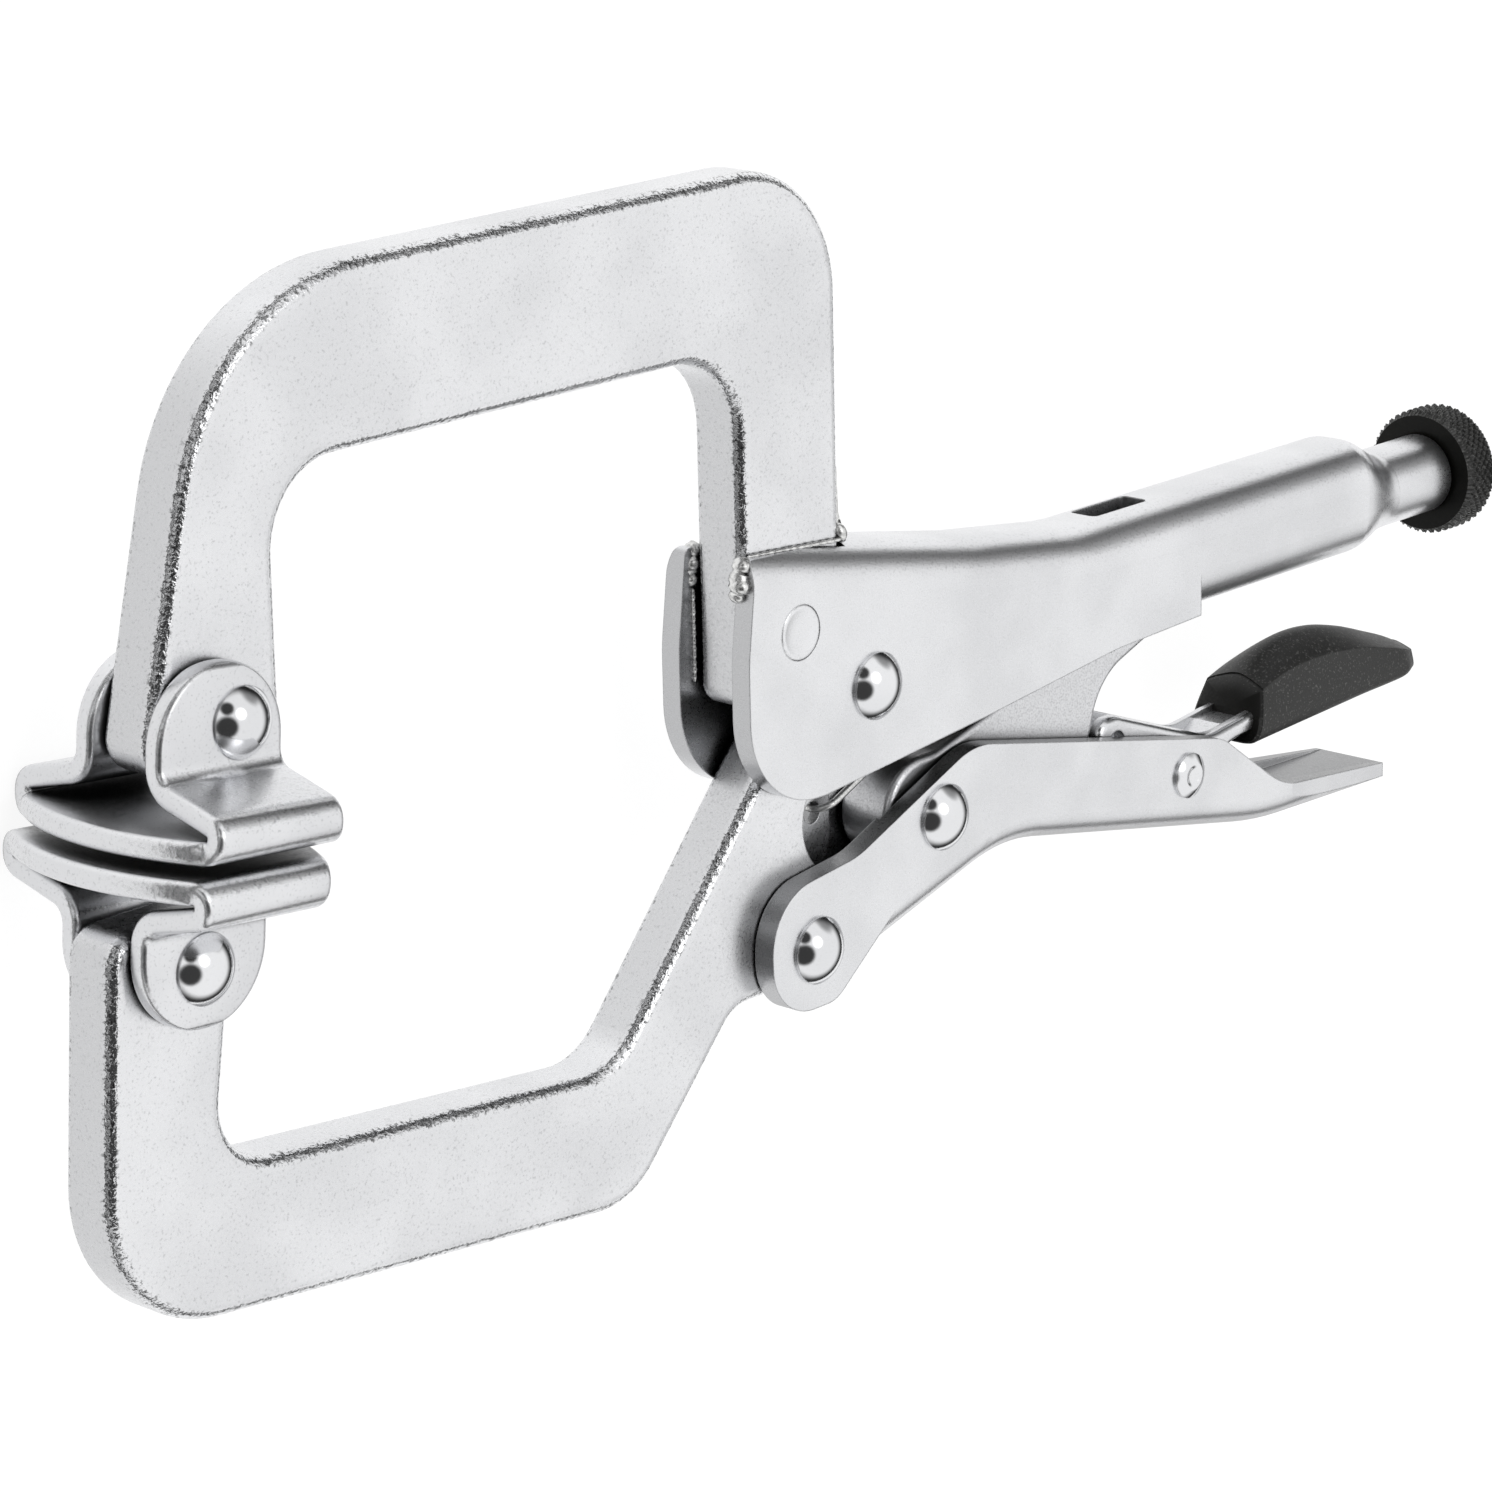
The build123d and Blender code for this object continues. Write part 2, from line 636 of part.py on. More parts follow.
# Swivel pads: one sheet, folded back over itself at both sides and turned up into two ears
pads = (
    ("upper_pad", upper_pad_pivot, 1, upper_pad_offset),
    ("lower_pad", lower_pad_pivot, -1, lower_pad_offset),
)
sole_level = pad_sheet / 2 - pad_rivet_height
roll_level = pad_roll_height - pad_sheet / 2 - pad_rivet_height
flange_level = roll_level + pad_flange_rise
step_level = pad_sheet + pad_step - pad_rivet_height
roll_radius = 0.49 * (roll_level - sole_level)
roll_out = pad_half_width - pad_sheet / 2
ear_middle = channel_half + pad_sheet / 2
for pad_name, pad_pivot, up, offset in pads:
    # drawing planes through the pad's middle: its side, its section and its plan
    along_pad = clamp_plane.x_dir * up
    from_pad = clamp_plane.y_dir * up
    pad_middle = pad_pivot + clamp_plane.x_dir * offset
    pad_side = Plane(pad_middle, x_dir=along_pad, z_dir=(0, 0, 1))
    pad_section = Plane(pad_middle, x_dir=from_pad, z_dir=along_pad)
    pad_plan = Plane(pad_middle, x_dir=along_pad, z_dir=from_pad)
    with BuildPart() as pad:
        # the sheet's middle line, from one ear under the sole to the other ear
        with BuildSketch(pad_section):
            with BuildLine():
                FilletPolyline(
                    (pad_ear_above, -ear_middle),
                    (flange_level, -ear_middle),
                    (roll_level, -roll_out),
                    (sole_level, -roll_out),
                    (sole_level, roll_out),
                    (roll_level, roll_out),
                    (flange_level, ear_middle),
                    (pad_ear_above, ear_middle),
                    radius=[pad_bend_radius, *4 * [roll_radius], pad_bend_radius],
                )
            trace(line_width=pad_sheet)
        extrude(amount=pad_middle_half, both=True)
        # seen from the face, the front and back edges are bowed
        with BuildSketch(pad_plan):
            with BuildLine():
                left = (-pad_end_half, -pad_half_width)
                right = (pad_end_half, -pad_half_width)
                ThreePointArc(left, (-pad_middle_half, 0), (-pad_end_half, pad_half_width))
                Line((-pad_end_half, pad_half_width), (pad_end_half, pad_half_width))
                ThreePointArc((pad_end_half, pad_half_width), (pad_middle_half, 0), right)
                Line(right, left)
            make_face()
        extrude(amount=2 * pad_rivet_height, both=True, mode=Mode.INTERSECT)
        # seen from the side, the flanges and the round ears are shorter than the sole
        points, radii = outline(
            [
                (-pad_middle_half, -pad_rivet_height, 0),
                (pad_middle_half, -pad_rivet_height, 0),
                (pad_middle_half, step_level, 0),
                (pad_ear_half, step_level, pad_step_radius),
                (pad_ear_half, pad_ear_above, pad_ear_half - 0.1),
                (-pad_ear_half, pad_ear_above, pad_ear_half - 0.1),
                (-pad_ear_half, step_level, pad_step_radius),
                (-pad_middle_half, step_level, 0),
            ]
        )
        with BuildSketch(pad_side):
            with BuildLine():
                FilletPolyline(*points, radius=radii, close=True)
            make_face()
        extrude(amount=pad_half_width, both=True, mode=Mode.INTERSECT)
        with BuildSketch(Plane(pad_pivot)):
            Circle(rivet_radius)
        extrude(amount=pad_half_width, both=True, mode=Mode.SUBTRACT)
    pad.part.label = pad_name
    export_step(pad.part, f"parts/{pad_name}.step")

# Rivets: a shank with a domed head on each side, turned about its own axis
big_head = (rivet_radius, rivet_head_radius, rivet_head_height)
small_head = (lever_rivet_radius, lever_rivet_head_radius, lever_rivet_head_height)
rivets = (
    ("jaw_pivot_rivet", (0.0, 0.0), handle_half, big_head),
    ("lower_handle_rivet", handle_pivot, lower_half, big_head),
    ("link_rivet", link_pivot, lower_half, big_head),
    ("lever_rivet", lever_pivot, lower_half, small_head),
    ("upper_pad_rivet", (upper_pad_x, upper_pad_y), pad_ear_outer, big_head),
    ("lower_pad_rivet", (lower_pad_x, lower_pad_y), pad_ear_outer, big_head),
)
for rivet_name, (x, y), grip, (shank, head, height) in rivets:
    rivet_origin = (pivot_x + x, pivot_y + y, 0)
    with BuildPart() as rivet:
        with BuildSketch(Plane(rivet_origin, x_dir=(1, 0, 0), z_dir=(0, -1, 0))):
            with BuildLine():
                Polyline((0, grip + height), (0, 0), (shank, 0), (shank, grip), (head, grip))
                TangentArc((0, grip + height), (head, grip), tangent=(1, 0))
            make_face()
        revolve(axis=Axis(rivet_origin, (0, 0, 1)))
        mirror(about=Plane.XY)
    rivet.part.label = rivet_name
    export_step(rivet.part, f"parts/{rivet_name}.step")

# Tension spring: one wire from the hook in the moving jaw's tail, through the coil, to the lug's hook
hook_room = spring_hole_radius - spring_wire / 2 - spring_hook_gap
span_x = spring_lug[0] - spring_hole[0]
span_y = spring_lug[1] - spring_hole[1]
span = math.hypot(span_x, span_y)
spring_length = span - 2 * hook_room
along = (span_x / span, span_y / span, 0)
spring_plane = Plane(
    (
        pivot_x + spring_hole[0] + hook_room * along[0],
        pivot_y + spring_hole[1] + hook_room * along[1],
        0,
    ),
    x_dir=along,
    z_dir=(0, 0, 1),
)


def place(travel, offset, height):
    """Point in the frame from a distance along the spring's axis and two offsets from it."""
    return spring_plane.from_local_coords(Vector(travel, offset, height))


def coil_station(quarter):
    """Point and direction on the coil after so many quarter turns."""
    angle = quarter * math.pi / 2
    travel = spring_leg + spring_lead + (quarter - 1) * spring_pitch / 4
    across_axis = spring_radius * math.sin(angle)
    above_axis = spring_radius * math.cos(angle)
    rise = spring_pitch / (2 * math.pi)
    direction = place(rise, above_axis, -across_axis) - spring_plane.origin
    return place(travel, across_axis, above_axis), direction.normalized()


def biarc_joint(start, start_dir, end, end_dir):
    """Point and direction where the two arcs of a biarc meet."""
    chord = end - start
    both = start_dir + end_dir
    bend = 2 * (1 - start_dir.dot(end_dir))
    reach = (math.sqrt(chord.dot(both) ** 2 + bend * chord.dot(chord)) - chord.dot(both)) / bend
    first = start + start_dir * reach
    last = end - end_dir * reach
    return (first + last) * 0.5, (last - first).normalized()


# wire: front hook, straight leg, quarter turn into the coil, the coil, and the same at the rear
quarters = 4 * spring_turns
coil_end = spring_leg + 2 * spring_lead + (quarters - 2) * spring_pitch / 4
rear_bend = spring_length - spring_radius
stations = [(place(spring_leg, 0, spring_radius), Vector(*along))]
stations += [coil_station(quarter) for quarter in range(1, quarters)]
stations += [(place(coil_end, 0, spring_radius), Vector(*along))]
front_end = place(spring_hook_end, 0, -spring_radius)
front_far = place(spring_radius, 0, -spring_radius)
front_near = place(spring_radius, 0, spring_radius)
rear_near = place(rear_bend, 0, spring_radius)
rear_far = place(rear_bend, 0, -spring_radius)
rear_end = place(spring_length - spring_hook_end, 0, -spring_radius)
with BuildPart() as tension_spring:
    with BuildLine() as spring_path:
        Line(front_end, front_far)
        ThreePointArc(front_far, place(0, 0, 0), front_near)
        Line(front_near, stations[0][0])
        for (start, start_dir), (end, end_dir) in zip(stations, stations[1:]):
            middle, middle_dir = biarc_joint(start, start_dir, end, end_dir)
            TangentArc(start, middle, tangent=start_dir)
            TangentArc(middle, end, tangent=middle_dir)
        Line(stations[-1][0], rear_near)
        ThreePointArc(rear_near, place(spring_length, 0, 0), rear_far)
        Line(rear_far, rear_end)
    spring_wire_path = spring_path.wires()[0]
    with BuildSketch(Plane(origin=spring_wire_path @ 0, z_dir=spring_wire_path % 0)):
        Circle(spring_wire / 2)
    sweep()
tension_spring.part.label = "tension_spring"
export_step(tension_spring.part, "parts/tension_spring.step")

# Least gap of the spring's wire to itself, measured between points well apart along the wire
samples = 1200
wire_points = [tuple(spring_wire_path @ (i / samples)) for i in range(samples + 1)]
apart = int(samples * math.pi * spring_wire / spring_wire_path.length) + 1
least = min(
    math.dist(wire_points[i], wire_points[j])
    for i in range(samples + 1)
    for j in range(i + apart, samples + 1)
)
print("least gap of the spring to itself:", round(least - spring_wire, 3), "mm")
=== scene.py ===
"""Looks of a plated locking C-clamp with swivel pads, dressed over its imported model.

Sizes are millimetres in the model's own frame, and metres only where Blender takes them.
"""

from __future__ import annotations

import json
import logging
import math
from collections.abc import Callable, Sequence
from dataclasses import astuple, dataclass, replace
from enum import Enum

import bmesh
import bpy
from mathutils import Matrix, Vector

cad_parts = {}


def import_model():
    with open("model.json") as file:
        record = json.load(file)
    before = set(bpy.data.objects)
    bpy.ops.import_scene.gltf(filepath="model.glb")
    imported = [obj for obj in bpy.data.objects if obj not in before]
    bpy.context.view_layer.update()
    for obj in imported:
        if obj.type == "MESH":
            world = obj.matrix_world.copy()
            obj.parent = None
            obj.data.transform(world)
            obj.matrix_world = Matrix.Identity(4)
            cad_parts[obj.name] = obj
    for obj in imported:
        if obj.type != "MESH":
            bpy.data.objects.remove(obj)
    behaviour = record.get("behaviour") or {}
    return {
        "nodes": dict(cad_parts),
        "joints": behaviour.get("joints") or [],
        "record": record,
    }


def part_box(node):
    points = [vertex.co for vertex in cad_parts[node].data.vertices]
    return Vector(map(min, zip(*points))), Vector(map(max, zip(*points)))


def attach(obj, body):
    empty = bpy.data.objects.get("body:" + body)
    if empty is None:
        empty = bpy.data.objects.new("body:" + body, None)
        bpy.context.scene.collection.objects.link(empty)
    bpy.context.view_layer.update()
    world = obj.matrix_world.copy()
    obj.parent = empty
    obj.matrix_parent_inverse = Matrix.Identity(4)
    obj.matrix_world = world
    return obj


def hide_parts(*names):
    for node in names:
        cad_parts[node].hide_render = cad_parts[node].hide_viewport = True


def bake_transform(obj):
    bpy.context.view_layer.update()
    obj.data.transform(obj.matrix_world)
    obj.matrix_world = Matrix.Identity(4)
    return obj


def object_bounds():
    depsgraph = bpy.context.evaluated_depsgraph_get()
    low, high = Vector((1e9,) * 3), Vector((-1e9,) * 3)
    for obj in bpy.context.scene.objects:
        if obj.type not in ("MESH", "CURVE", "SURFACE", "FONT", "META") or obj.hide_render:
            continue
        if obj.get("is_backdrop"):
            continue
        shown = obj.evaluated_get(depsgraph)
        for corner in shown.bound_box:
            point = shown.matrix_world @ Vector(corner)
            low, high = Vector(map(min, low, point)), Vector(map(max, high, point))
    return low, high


LOG = logging.getLogger("locking_clamp")
MM = 0.001
WHITE = (1.0, 1.0, 1.0, 1.0)

Colour = tuple[float, float, float]
Place = tuple[float, float, float]
Wave = tuple[float, float, float]
Span = tuple[float, float]
Socket = bpy.types.NodeSocket


def smooth(share: float) -> float:
    """Smooth step from 0 to 1."""
    share = min(max(share, 0.0), 1.0)
    return share * share * (3.0 - 2.0 * share)


def ridge(phase: float) -> float:
    """Triangle wave from 0 to 1 and back over each whole phase."""
    return 1.0 - abs(2.0 * (phase % 1.0) - 1.0)


def box_mm(node: str) -> tuple[Vector, Vector]:
    """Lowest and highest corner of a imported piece, in millimetres."""
    low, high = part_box(node)
    return low / MM, high / MM


class Hand(Enum):
    """Side of the tool: the near one shows in the photograph."""

    NEAR = 1
    FAR = -1


class NodeTree:
    """Node tree under construction."""

    def __init__(self, tree: bpy.types.NodeTree) -> None:
        """Start on a tree.

        Args:
            tree: node tree of a material or of the world.
        """
        self.nodes = tree.nodes
        self.links = tree.links

    def feed(self, socket: Socket, value: object) -> None:
        """Link a socket to another one, or set its value.

        Args:
            socket: input to feed.
            value: output socket or plain value.
        """
        if isinstance(value, bpy.types.NodeSocket):
            self.links.new(value, socket)
        else:
            socket.default_value = value

    def add(self, kind: str, **inputs: object) -> bpy.types.Node:
        """Add a node and set or link its inputs.

        Args:
            kind: type name of the node.
            inputs: values or sockets by input name, with spaces written as underscores.

        Returns:
            The new node.
        """
        node = self.nodes.new(kind)
        for name, value in inputs.items():
            self.feed(node.inputs[name.replace("_", " ")], value)
        return node

    def maths(self, operation: str, *values: object) -> Socket:
        """Result of a sum on numbers.

        Args:
            operation: name of the operation.
            values: sockets or numbers that it takes.

        Returns:
            The result's socket.
        """
        node = self.nodes.new("ShaderNodeMath")
        node.operation = operation
        for socket, value in zip(node.inputs, values):
            self.feed(socket, value)
        return node.outputs[0]

    def span(
        self, value: object, low: float, high: float, start: float = 0.3, end: float = 0.7
    ) -> Socket:
        """Map a value from one range to another, with a soft start and end.

        Args:
            value: socket to map.
            low: result at start.
            high: result at end.
            start: value that gives low.
            end: value that gives high.

        Returns:
            The mapped value's socket.
        """
        node = self.nodes.new("ShaderNodeMapRange")
        node.interpolation_type = "SMOOTHSTEP"
        for index, entry in enumerate((value, start, end, low, high)):
            self.feed(node.inputs[index], entry)
        return node.outputs[0]

    def tint(self, factor: object, first: object, second: object) -> Socket:
        """Blend of two colours.

        Args:
            factor: socket from 0, all first, to 1, all second.
            first: first colour or its socket.
            second: second colour or its socket.

        Returns:
            The blended colour's socket.
        """
        node = self.nodes.new("ShaderNodeMix")
        node.data_type = "RGBA"
        self.feed(node.inputs[0], factor)
        for index, colour in ((6, first), (7, second)):
            plain = colour if isinstance(colour, bpy.types.NodeSocket) else (*colour, 1.0)
            self.feed(node.inputs[index], plain)
        return node.outputs[2]


class Shader(NodeTree):
    """One node material under construction."""

    def __init__(self, name: str) -> None:
        """Start a material with its main shader.

        Args:
            name: name of the material.
        """
        self.material = bpy.data.materials.new(name)
        self.material.use_nodes = True
        super().__init__(self.material.node_tree)
        self.bsdf = self.nodes["Principled BSDF"]
        coordinates = self.add("ShaderNodeTexCoord")
        self.place = coordinates.outputs["Object"]
        self.facing = coordinates.outputs["Normal"]

    def coat(self, **inputs: object) -> None:
        """Feed the main shader's inputs.

        Args:
            inputs: values or sockets by input name, with spaces written as underscores.
        """
        for name, value in inputs.items():
            self.feed(self.bsdf.inputs[name.replace("_", " ")], value)

    def noise(self, size: float, detail: float = 2.0) -> Socket:
        """Noise with features of about the given size.

        Args:
            size: size of a feature in millimetres.
            detail: octaves of finer noise.

        Returns:
            The noise value's socket.
        """
        density = 1.0 / (size * MM)
        mapping = self.add("ShaderNodeMapping", Vector=self.place, Scale=(density, density, density))
        node = self.add("ShaderNodeTexNoise", Vector=mapping.outputs[0], Scale=1.0, Detail=detail)
        return node.outputs[0]

    def bump(self, height: object, depth: float, under: object | None = None) -> Socket:
        """Bumped normal.

        Args:
            height: socket with the height from 0 to 1.
            depth: height in millimetres that 1 stands for.
            under: normal that the bump lies on.

        Returns:
            The normal's socket.
        """
        node = self.add("ShaderNodeBump", Height=height, Distance=depth * MM, Strength=1.0)
        if under is not None:
            self.feed(node.inputs["Normal"], under)
        return node.outputs[0]

    def soft_edges(self, radius: float) -> Socket:
        """Normal that rounds sharp edges over the given radius in millimetres."""
        return self.add("ShaderNodeBevel", Radius=radius * MM).outputs[0]

    def hollow(self, reach: float) -> Socket:
        """Openness of the surroundings within the given reach in millimetres, from 0 to 1."""
        return self.add("ShaderNodeAmbientOcclusion", Distance=reach * MM).outputs["AO"]

    def leaning(self, axis: str, start: float, end: float) -> Socket:
        """Share from 0 to 1 by which a surface faces along an axis, either way.

        Args:
            axis: name of the axis.
            start: part of the normal along the axis where the share is 0.
            end: part of the normal along the axis where the share is 1.

        Returns:
            The share's socket.
        """
        split = self.add("ShaderNodeSeparateXYZ", Vector=self.facing)
        return self.span(self.maths("ABSOLUTE", split.outputs[axis]), 0.0, 1.0, start, end)


@dataclass(frozen=True)
class PlatedSteel:
    """Nickel plating over steel: fine grain on the flats, sparkling dents along the rounded edges,
    painted shade on the sides and in the hollows.
    """

    name: str
    bright: Colour = (0.81, 0.815, 0.83)
    dull: Colour = (0.73, 0.735, 0.75)
    dark: Colour = (0.06, 0.06, 0.06)
    # painted shade: share of the brightness kept on faces that lean along X, and below along Y; below 1
    # darkens them
    painted_side_shade: float = 0.72
    painted_top_shade: float = 1.0
    smooth: float = 0.26
    rough: float = 0.38
    edge_rough: float = 0.14
    grain: float = 0.34
    grain_depth: float = 0.006
    speck: float = 0.22
    dent: float = 0.5
    dent_depth: float = 0.07
    dent_dark: float = 0.35
    swell: float = 2.2
    swell_depth: float = 0.010
    cloud: float = 16.0
    edge_radius: float = 0.3
    # painted shade: the colour goes dark where ambient occlusion within this reach finds corners, creases
    # and gaps between parts
    hollow_shade_reach: float = 3.0
    hollow_shade: float = 0.5
    shade_lean_span: Span = (0.45, 0.9)
    speck_span: Span = (0.58, 0.74)
    dent_span: Span = (0.54, 0.66)
    hollow_shade_span: Span = (0.15, 0.6)
    edge_span: Span = (0.05, 0.4)
    flat_span: Span = (0.9, 0.985)

    def colour(self, shader: Shader, grain: Socket, dents: Socket, edge: Socket) -> Socket:
        """Colour of the plating, with painted shade on its sides and in its hollows.

        Args:
            shader: material under construction.
            grain: fine noise.
            dents: coarser noise along the edges.
            edge: share by which a place is a rounded edge.

        Returns:
            The colour's socket.
        """
        clouds = shader.span(shader.noise(self.cloud), 0.0, 1.0)
        colour = shader.tint(clouds, self.bright, self.dull)
        # painted shade: faces that lean along X or Y are darkened in the colour
        for axis, shade_tone in (("X", self.painted_side_shade), ("Y", self.painted_top_shade)):
            if shade_tone < 1.0:
                shaded = tuple(shade_tone * part for part in self.bright)
                colour = shader.tint(shader.leaning(axis, *self.shade_lean_span), colour, shaded)
        colour = shader.tint(shader.span(grain, 0.0, self.speck, *self.speck_span), colour, self.dark)
        pits = shader.span(dents, 0.0, self.dent_dark, *self.dent_span)
        colour = shader.tint(shader.maths("MULTIPLY", pits, edge), colour, self.dark)
        # painted shade: darken the colour in corners, creases and gaps between parts, from the ambient
        # occlusion
        hollow_shade = shader.span(shader.hollow(self.hollow_shade_reach), self.hollow_shade, 0.0, *self.hollow_shade_span)
        return shader.tint(hollow_shade, colour, self.dark)

    def material(self) -> bpy.types.Material:
        """Build the material.

        Returns:
            The plated steel material.
        """
        shader = Shader(self.name)
        grain = shader.noise(self.grain)
        dents = shader.noise(self.dent)
        not_side = shader.leaning("Z", *self.edge_span)
        edge = shader.maths("SUBTRACT", not_side, shader.leaning("Z", *self.flat_span))
        roughness = shader.nodes.new("ShaderNodeMix")
        flat_rough = shader.span(grain, self.smooth, self.rough)
        for index, value in ((0, edge), (2, flat_rough), (3, self.edge_rough)):
            shader.feed(roughness.inputs[index], value)
        normal = shader.soft_edges(self.edge_radius)
        normal = shader.bump(shader.noise(self.swell, detail=1.0), self.swell_depth, normal)
        normal = shader.bump(grain, self.grain_depth, normal)
        normal = shader.bump(shader.maths("MULTIPLY", dents, edge), self.dent_depth, normal)
        colour = self.colour(shader, grain, dents, edge)
        shader.coat(Base_Color=colour, Roughness=roughness.outputs[0], Metallic=1.0, Normal=normal)
        return shader.material


@dataclass(frozen=True)
class BareSteel:
    """Plain drawn or rolled steel, a little darker than the plating, with fine scratches and painted
    shade in its hollows.
    """

    name: str
    colour: Colour = (0.58, 0.58, 0.57)
    shade: Colour = (0.30, 0.30, 0.30)
    roughness: float = 0.28
    grain: float = 0.25
    grain_depth: float = 0.008
    grain_shade: float = 0.6
    grain_span: Span = (0.4, 0.75)
    rough_spread: float = 0.15
    # painted shade: the colour goes dark where ambient occlusion within this reach finds corners, creases
    # and gaps between parts
    hollow_shade_reach: float = 1.5
    hollow_shade: float = 0.7
    hollow_shade_tone: float = 0.3
    hollow_shade_span: Span = (0.1, 0.7)

    def material(self) -> bpy.types.Material:
        """Build the material.

        Returns:
            The bare steel material.
        """
        shader = Shader(self.name)
        grain = shader.noise(self.grain, detail=3.0)
        streaks = shader.span(grain, 0.0, self.grain_shade, *self.grain_span)
        colour = shader.tint(streaks, self.colour, self.shade)
        # painted shade: darken the colour in corners, creases and gaps between parts, from the ambient
        # occlusion
        hollow_shade = shader.span(shader.hollow(self.hollow_shade_reach), self.hollow_shade, 0.0, *self.hollow_shade_span)
        colour = shader.tint(hollow_shade, colour, tuple(self.hollow_shade_tone * part for part in self.shade))
        roughness = shader.span(grain, self.roughness, self.roughness + self.rough_spread)
        normal = shader.bump(grain, self.grain_depth)
        shader.coat(Base_Color=colour, Roughness=roughness, Metallic=1.0, Normal=normal)
        return shader.material


@dataclass(frozen=True)
class BlackFinish:
    """Black oxide or dipped vinyl with a fine speckle, and painted shade on the faces that look along X:
    no specks and less gloss there.
    """

    name: str
    colour: Colour = (0.011, 0.011, 0.010)
    speck: Colour = (0.075, 0.075, 0.072)
    roughness: float = 0.46
    grain: float = 0.32
    grain_depth: float = 0.03
    speck_span: Span = (0.52, 0.78)
    rough_spread: Span = (-0.06, 0.10)
    gloss: float = 0.5
    end_gloss: float = 0.1
    # painted shade: how far a face must look along X before it loses its specks and gloss
    end_shade_span: Span = (0.7, 0.92)

    def material(self) -> bpy.types.Material:
        """Build the material.

        Returns:
            The black material.
        """
        shader = Shader(self.name)
        grain = shader.noise(self.grain, detail=3.0)
        # painted shade: faces that look along X lose their specks, so they come out darker, and get less
        # gloss
        end = shader.leaning("X", *self.end_shade_span)
        specks = shader.span(grain, 0.0, 1.0, *self.speck_span)
        specks = shader.maths("SUBTRACT", specks, end)
        colour = shader.tint(specks, self.colour, self.speck)
        roughness = shader.span(grain, *(self.roughness + change for change in self.rough_spread))
        normal = shader.bump(grain, self.grain_depth)
        gloss = shader.span(end, self.gloss, self.end_gloss, 0.0, 1.0)
        shader.coat(Base_Color=colour, Roughness=roughness, Specular_IOR_Level=gloss, Normal=normal)
        return shader.material


class Skin:
    """Closed mesh made of rings of points in millimetres, joined by bands of faces."""

    def __init__(self, name: str) -> None:
        """Start an empty mesh.

        Args:
            name: name of the piece.
        """
        self.name = name
        self.points: list[Vector] = []
        self.faces: list[tuple[int, ...]] = []

    def ring(self, points: Sequence[Vector]) -> range:
        """Add the points of one ring.

        Args:
            points: points in order round the ring.

        Returns:
            Their numbers in the mesh.
        """
        start = len(self.points)
        self.points.extend(points)
        return range(start, len(self.points))

    def band(self, first: range, second: range) -> None:
        """Join two rings with a band of faces.

        Args:
            first: numbers of one ring's points.
            second: numbers of the other ring's points.
        """
        for i in range(len(first)):
            self.faces.append((first[i - 1], first[i], second[i], second[i - 1]))

    def cap(self, ring: range) -> None:
        """Close a ring with a fan of faces round its middle."""
        middle = sum((self.points[i] for i in ring), Vector()) / len(ring)
        hub = self.ring([middle])[0]
        for i in range(len(ring)):
            self.faces.append((ring[i - 1], ring[i], hub))

    def tube(self, rings: Sequence[Sequence[Vector]], endless: bool = False) -> None:
        """Join rings one after the other and close the ends.

        Args:
            rings: the rings' points, equally many in each.
            endless: whether the last ring joins the first one, with no caps.
        """
        loops = [self.ring(ring) for ring in rings]
        for first, second in zip(loops, loops[1:]):
            self.band(first, second)
        if endless:
            self.band(loops[-1], loops[0])
        else:
            self.cap(loops[0])
            self.cap(loops[-1])

    def bead(self, path: Sequence[Vector], radius: Callable[[float], float], sides: int) -> None:
        """Add a round bead along a path.

        Args:
            path: points of the bead's middle line.
            radius: radius by the share of the path that lies behind.
            sides: points round the bead.
        """
        rings = []
        side = (path[1] - path[0]).orthogonal().normalized()
        for i, point in enumerate(path):
            ahead = (path[min(i + 1, len(path) - 1)] - path[max(i - 1, 0)]).normalized()
            side = (side - side.dot(ahead) * ahead).normalized()
            up = ahead.cross(side)
            reach = radius(i / (len(path) - 1))
            turns = [2.0 * math.pi * k / sides for k in range(sides)]
            rings.append([point + reach * (math.cos(t) * side + math.sin(t) * up) for t in turns])
        self.tube(rings)

    def build(self, finish: bpy.types.Material, sharp: float = 35.0) -> bpy.types.Object:
        """Make the object.

        Args:
            finish: its material.
            sharp: angle in degrees from which an edge is shaded sharp.

        Returns:
            The finished object.
        """
        mesh = bpy.data.meshes.new(self.name)
        mesh.from_pydata([point * MM for point in self.points], [], self.faces)
        work = bmesh.new()
        work.from_mesh(mesh)
        bmesh.ops.recalc_face_normals(work, faces=work.faces)
        work.to_mesh(mesh)
        work.free()
        mesh.shade_smooth()
        mesh.set_sharp_from_angle(angle=math.radians(sharp))
        mesh.materials.append(finish)
        piece = bpy.data.objects.new(self.name, mesh)
        bpy.context.scene.collection.objects.link(piece)
        return piece


def seat(piece: bpy.types.Object, body: str, slot: str, *nodes: str) -> None:
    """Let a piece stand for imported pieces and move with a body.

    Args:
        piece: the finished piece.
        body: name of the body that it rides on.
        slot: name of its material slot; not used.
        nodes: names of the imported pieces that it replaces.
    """
    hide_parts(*nodes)
    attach(piece, body)
    LOG.info("built %s on %s: %d faces", piece.name, body, len(piece.data.polygons))


def turned_ring(centre: Vector, radius: float, height: float, sides: int) -> list[Vector]:
    """Ring about an upright axis.

    Args:
        centre: point on the axis.
        radius: radius of the ring.
        height: height of the ring.
        sides: points round the ring.

    Returns:
        The ring's points.
    """
    points = []
    for k in range(sides):
        turn = 2.0 * math.pi * k / sides
        x, y = centre.x + radius * math.cos(turn), centre.y + radius * math.sin(turn)
        points.append(Vector((x, y, height)))
    return points


def rounded(outline: list[Span], cuts: int = 3, shares: Span = (0.25, 0.75)) -> list[Span]:
    """Closed outline with its corners cut off again and again until it is round.

    Args:
        outline: corners in order.
        cuts: how many times the corners are cut off.
        shares: shares of each side where its corners are cut.

    Returns:
        The points of the rounded outline.
    """
    for _ in range(cuts):
        cut = []
        for (z0, y0), (z1, y1) in zip(outline, outline[1:] + outline[:1]):
            cut += [(z0 + share * (z1 - z0), y0 + share * (y1 - y0)) for share in shares]
        outline = cut
    return outline


